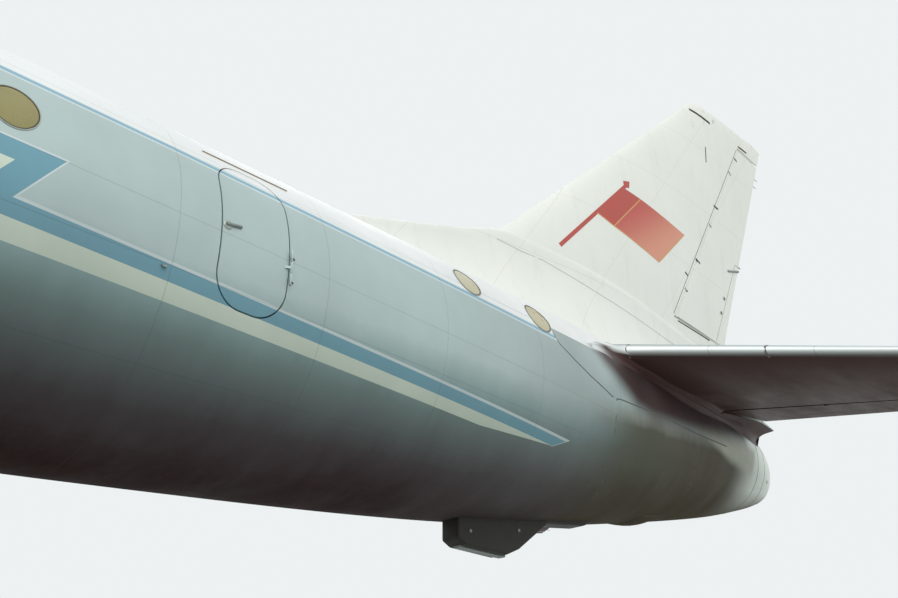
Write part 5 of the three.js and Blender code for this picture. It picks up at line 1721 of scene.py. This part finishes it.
def make_floor(settings):
    """A round floor whose rings widen outward."""
    radii = [settings.floor_radius * (k / FLOOR_RINGS) ** 2 for k in range(FLOOR_RINGS + 1)]
    rings = [[(r * c, r * s, FLOOR_LEVEL) for c, s in circle(FLOOR_SPOKES)] for r in radii]
    mesh = mesh_of(loft(rings, ends=False))
    # Matt paint on the floor keeps the shadows soft and free of reflections
    paint = material("pale matt studio floor", mottled, settings.floor_colour, 0.85, 0.0, 0.02, 900)
    mesh.materials.append(paint)
    floor = bpy.data.objects.new("floor", mesh)
    bpy.context.scene.collection.objects.link(floor)


def make_stage(settings):
    scene = bpy.context.scene
    camera = bpy.data.objects.new("camera", bpy.data.cameras.new("camera"))
    scene.collection.objects.link(camera)
    camera.data.sensor_width = 36
    camera.data.lens = settings.lens
    camera.data.clip_end = 2000
    camera.location = settings.camera_place
    camera.rotation_euler = (math.radians(90 + settings.camera_rise), 0,
                             math.radians(-settings.camera_heading))
    scene.camera = camera
    world = bpy.data.worlds.new("pale studio air")
    scene.world = world
    world.use_nodes = True
    background = world.node_tree.nodes["Background"]
    background.inputs["Color"].default_value = (*settings.air_colour, 1)
    background.inputs["Strength"].default_value = settings.air_strength
    for name, place, size, power, aim in SOFTBOXES:
        lamp = bpy.data.lights.new(name, "AREA")
        lamp.shape = "DISK"
        lamp.size = size
        lamp.energy = power
        obj = bpy.data.objects.new(name, lamp)
        obj.location = place
        obj.rotation_euler = (Vector(aim) - Vector(place)).to_track_quat("-Z", "Y").to_euler()
        scene.collection.objects.link(obj)
    scene.view_settings.view_transform = "Standard"
    make_floor(settings)


def colour_property(name, description, text):
    return FloatVectorProperty(name=name.replace("_", " ").capitalize(), description=description,
                               subtype="COLOR", size=3, min=0.0, max=1.0, default=linear(text))


# Painted and weathered colours: what each one is for, and its sRGB value
COLOURS = {
    "white_enamel": ("Crown of the fuselage", "e9ebea"),
    "fin_enamel": ("Fin, rudder and fin base", "f2f3ec"),
    "dull_enamel": ("Chalked patches of the fin", "e4e6dd"),
    "stained_enamel": ("Rain streaks on the fin", "b9b9a4"),
    "dome_enamel": ("Cap at the end of the fuselage", "e4ebe3"),
    "blue_enamel": ("Lightning along the side", "7aa9b9"),
    "line_enamel": ("Thin line under the white crown", "8fb3c4"),
    "pale_edge": ("Edges of the blue lines", "d3dfdf"),
    "cream_enamel": ("Line below the blue", "dae6d6"),
    "bare_sheet": ("Clean sheet on the sides", "b8c9c7"),
    # Stops of painted shade with soot on the fuselage's sides; the duller one also shows in chips on the fin
    "dull_sheet": ("Sheet below the stripes", "8da6a6"),
    "sooty_sheet": ("Sheet that faces down", "666e6f"),
    "keel_soot": ("Sheet along the keel", "4e484b"),
    # Painted shade with soot on the tailplane's underside, which also fills its joints
    "underside_soot": ("Tailplane seen from below", "452e2b"),
    # More stops of painted shade with soot on the fuselage's sides
    "grey_soot": ("Sheet half way round to the keel", "748784"),
    "deep_soot": ("Sheet beside the keel", "413236"),
    "wing_sheet": ("Clean sheet of the wings", "b6c1c0"),
    # Painted shade with soot on the undersides of the wings and pods
    "wing_soot": ("Undersides of the wings and pods", "5f6262"),
    "dull_wing": ("Weathered sheet of the wings", "9aa8a7"),
    # Painted shade with soot where the sheet faces straight down
    "black_soot": ("Sheet that faces straight down", "33201f"),
    # Painted shade as well as thin dirt where the enamel faces down
    "grey_film": ("Thin dirt over the enamel", "52605e"),
    # Painted shadow of the tailplane on the fuselage
    "fillet_soot": ("Under the tailplane's root", "4c3c3b"),
    "wiped_sheet": ("Strip wiped clean below the fillet", "b4b8a9"),
    # Painted highlight along the tailplane's leading edge
    "bright_edge": ("Leading edge of the tailplane", "eaf0ee"),
    "engine_haze": ("Grey haze that thickens towards the tail", "6e6d6c"),
    # The tail's smoke film in stops that darken as the skin faces down: painted shade as well as film
    "film_edge": ("Where the brown film of the tail begins", "8b9087"),
    "brown_film": ("Film of smoke on the tail", "525445"),
    "oily_film": ("Film of smoke under the tail", "4b4130"),
    "red_cloth": ("Flag on the fin", "c1534a"),
    "bleached_cloth": ("Lower corner of the flag", "dd977c"),
}


class AirlinerColours(bpy.types.PropertyGroup):
    __annotations__ = {name: colour_property(name, *row) for name, row in COLOURS.items()}


def length_property(name, description, default):
    return FloatProperty(name=name, description=description, default=default, unit="LENGTH")


class AirlinerSizes(bpy.types.PropertyGroup):
    window_pitch: length_property("Window pitch", "Distance between cabin windows", 1.0)
    window_radius: length_property("Window radius", "Radius of a cabin window", 0.19)
    window_level: length_property("Window level", "Level of the cabin windows", 4.574)


class AirlinerStage(bpy.types.PropertyGroup):
    lens: FloatProperty(name="Lens", description="Focal length on a 36 mm sensor, in mm", default=42.09)
    camera_place: FloatVectorProperty(name="Camera", description="Place of the camera", size=3,
                                      default=(2.625, -8.05, 0.125), subtype="TRANSLATION")
    camera_heading: FloatProperty(name="Heading", description="Degrees from the beam towards the tail",
                                  default=45.0)
    camera_rise: FloatProperty(name="Rise", description="Degrees that the camera looks up", default=25.9)
    air_colour: colour_property("air", "Pale surround", "edf1f2")
    air_strength: FloatProperty(name="Air strength", description="Brightness of the surround", default=1.0)
    floor_colour: colour_property("floor", "Studio floor", "b8bab6")
    floor_radius: length_property("Floor radius", "Radius of the round floor", 900.0)


class AIRLINER_OT_finishes(bpy.types.Operator):
    """Makes the enamels, metals, glass and rubber"""

    bl_idname = "airliner.finishes"
    bl_label = "Finishes"

    def execute(self, context):
        make_finishes(context.scene.airliner_colours)
        return {"FINISHED"}


class AIRLINER_OT_fuselage(bpy.types.Operator):
    """Builds the fuselage skins with the door openings"""

    bl_idname = "airliner.fuselage"
    bl_label = "Fuselage"

    def execute(self, context):
        make_fuselage()
        return {"FINISHED"}


class AIRLINER_OT_doors(bpy.types.Operator):
    """Builds both passenger doors"""

    bl_idname = "airliner.doors"
    bl_label = "Doors"

    def execute(self, context):
        make_doors()
        return {"FINISHED"}


class AIRLINER_OT_glazing(bpy.types.Operator):
    """Builds the glazed nose, the flight deck panes and the cabin windows"""

    bl_idname = "airliner.glazing"
    bl_label = "Glazing"

    def execute(self, context):
        make_nose_glazing()
        make_flight_deck()
        make_windows(context.scene.airliner_sizes)
        return {"FINISHED"}


class AIRLINER_OT_fairings(bpy.types.Operator):
    """Builds the chin radome, the tail bumper and the base of the fin"""

    bl_idname = "airliner.fairings"
    bl_label = "Fairings"

    def execute(self, context):
        make_radome()
        make_bumper()
        make_fin_base()
        return {"FINISHED"}


class AIRLINER_OT_fin(bpy.types.Operator):
    """Builds the fin with its flag and the rudder"""

    bl_idname = "airliner.fin"
    bl_label = "Fin and rudder"

    def execute(self, context):
        make_fin()
        return {"FINISHED"}


class AIRLINER_OT_tailplanes(bpy.types.Operator):
    """Builds the tailplanes and elevators"""

    bl_idname = "airliner.tailplanes"
    bl_label = "Tailplanes and elevators"

    def execute(self, context):
        make_tailplanes()
        return {"FINISHED"}


class AIRLINER_OT_wings(bpy.types.Operator):
    """Builds the wings and ailerons"""

    bl_idname = "airliner.wings"
    bl_label = "Wings and ailerons"

    def execute(self, context):
        make_wings()
        return {"FINISHED"}


class AIRLINER_OT_engines(bpy.types.Operator):
    """Builds the nacelles in the wing roots and the engines in them"""

    bl_idname = "airliner.engines"
    bl_label = "Nacelles and engines"

    def execute(self, context):
        make_nacelles()
        make_engines()
        return {"FINISHED"}


class AIRLINER_OT_landing_gear(bpy.types.Operator):
    """Builds the gear pods, legs, doors and wheels"""

    bl_idname = "airliner.landing_gear"
    bl_label = "Landing gear"

    def execute(self, context):
        make_pods()
        make_main_legs()
        make_nose_gear()
        make_wheels()
        return {"FINISHED"}


class AIRLINER_OT_fittings(bpy.types.Operator):
    """Adds aerials, probes and lamps"""

    bl_idname = "airliner.fittings"
    bl_label = "Aerials and lamps"

    def execute(self, context):
        make_fittings()
        return {"FINISHED"}


class AIRLINER_OT_stage(bpy.types.Operator):
    """Sets up the floor, the lights, the surround and the camera"""

    bl_idname = "airliner.stage"
    bl_label = "Stage"

    def execute(self, context):
        make_stage(context.scene.airliner_stage)
        return {"FINISHED"}


OPERATORS = (AIRLINER_OT_finishes, AIRLINER_OT_stage, AIRLINER_OT_fuselage, AIRLINER_OT_doors,
             AIRLINER_OT_glazing, AIRLINER_OT_fairings, AIRLINER_OT_fin, AIRLINER_OT_tailplanes,
             AIRLINER_OT_wings, AIRLINER_OT_engines, AIRLINER_OT_landing_gear, AIRLINER_OT_fittings)


class AIRLINER_PT_panel(bpy.types.Panel):
    """Lists the pieces of the airliner"""

    bl_idname = "AIRLINER_PT_panel"
    bl_label = "Narrow body airliner"
    bl_space_type = "VIEW_3D"
    bl_region_type = "UI"
    bl_category = "Airliner"

    def draw(self, context):
        for operator in OPERATORS:
            self.layout.operator(operator.bl_idname)
        for group in ("airliner_sizes", "airliner_colours", "airliner_stage"):
            settings = getattr(context.scene, group)
            for name in settings.bl_rna.properties.keys():
                if name not in ("rna_type", "name"):
                    self.layout.prop(settings, name)


CLASSES = (AirlinerColours, AirlinerSizes, AirlinerStage, *OPERATORS, AIRLINER_PT_panel)


def register():
    for cls in CLASSES:
        bpy.utils.register_class(cls)
    bpy.types.Scene.airliner_colours = PointerProperty(type=AirlinerColours)
    bpy.types.Scene.airliner_sizes = PointerProperty(type=AirlinerSizes)
    bpy.types.Scene.airliner_stage = PointerProperty(type=AirlinerStage)


def unregister():
    for name in ("airliner_stage", "airliner_sizes", "airliner_colours"):
        delattr(bpy.types.Scene, name)
    for cls in reversed(CLASSES):
        bpy.utils.unregister_class(cls)


def main():
    register()
    for operator in OPERATORS:
        group, name = operator.bl_idname.split(".")
        getattr(getattr(bpy.ops, group), name)()


if __name__ == "__main__":
    main()
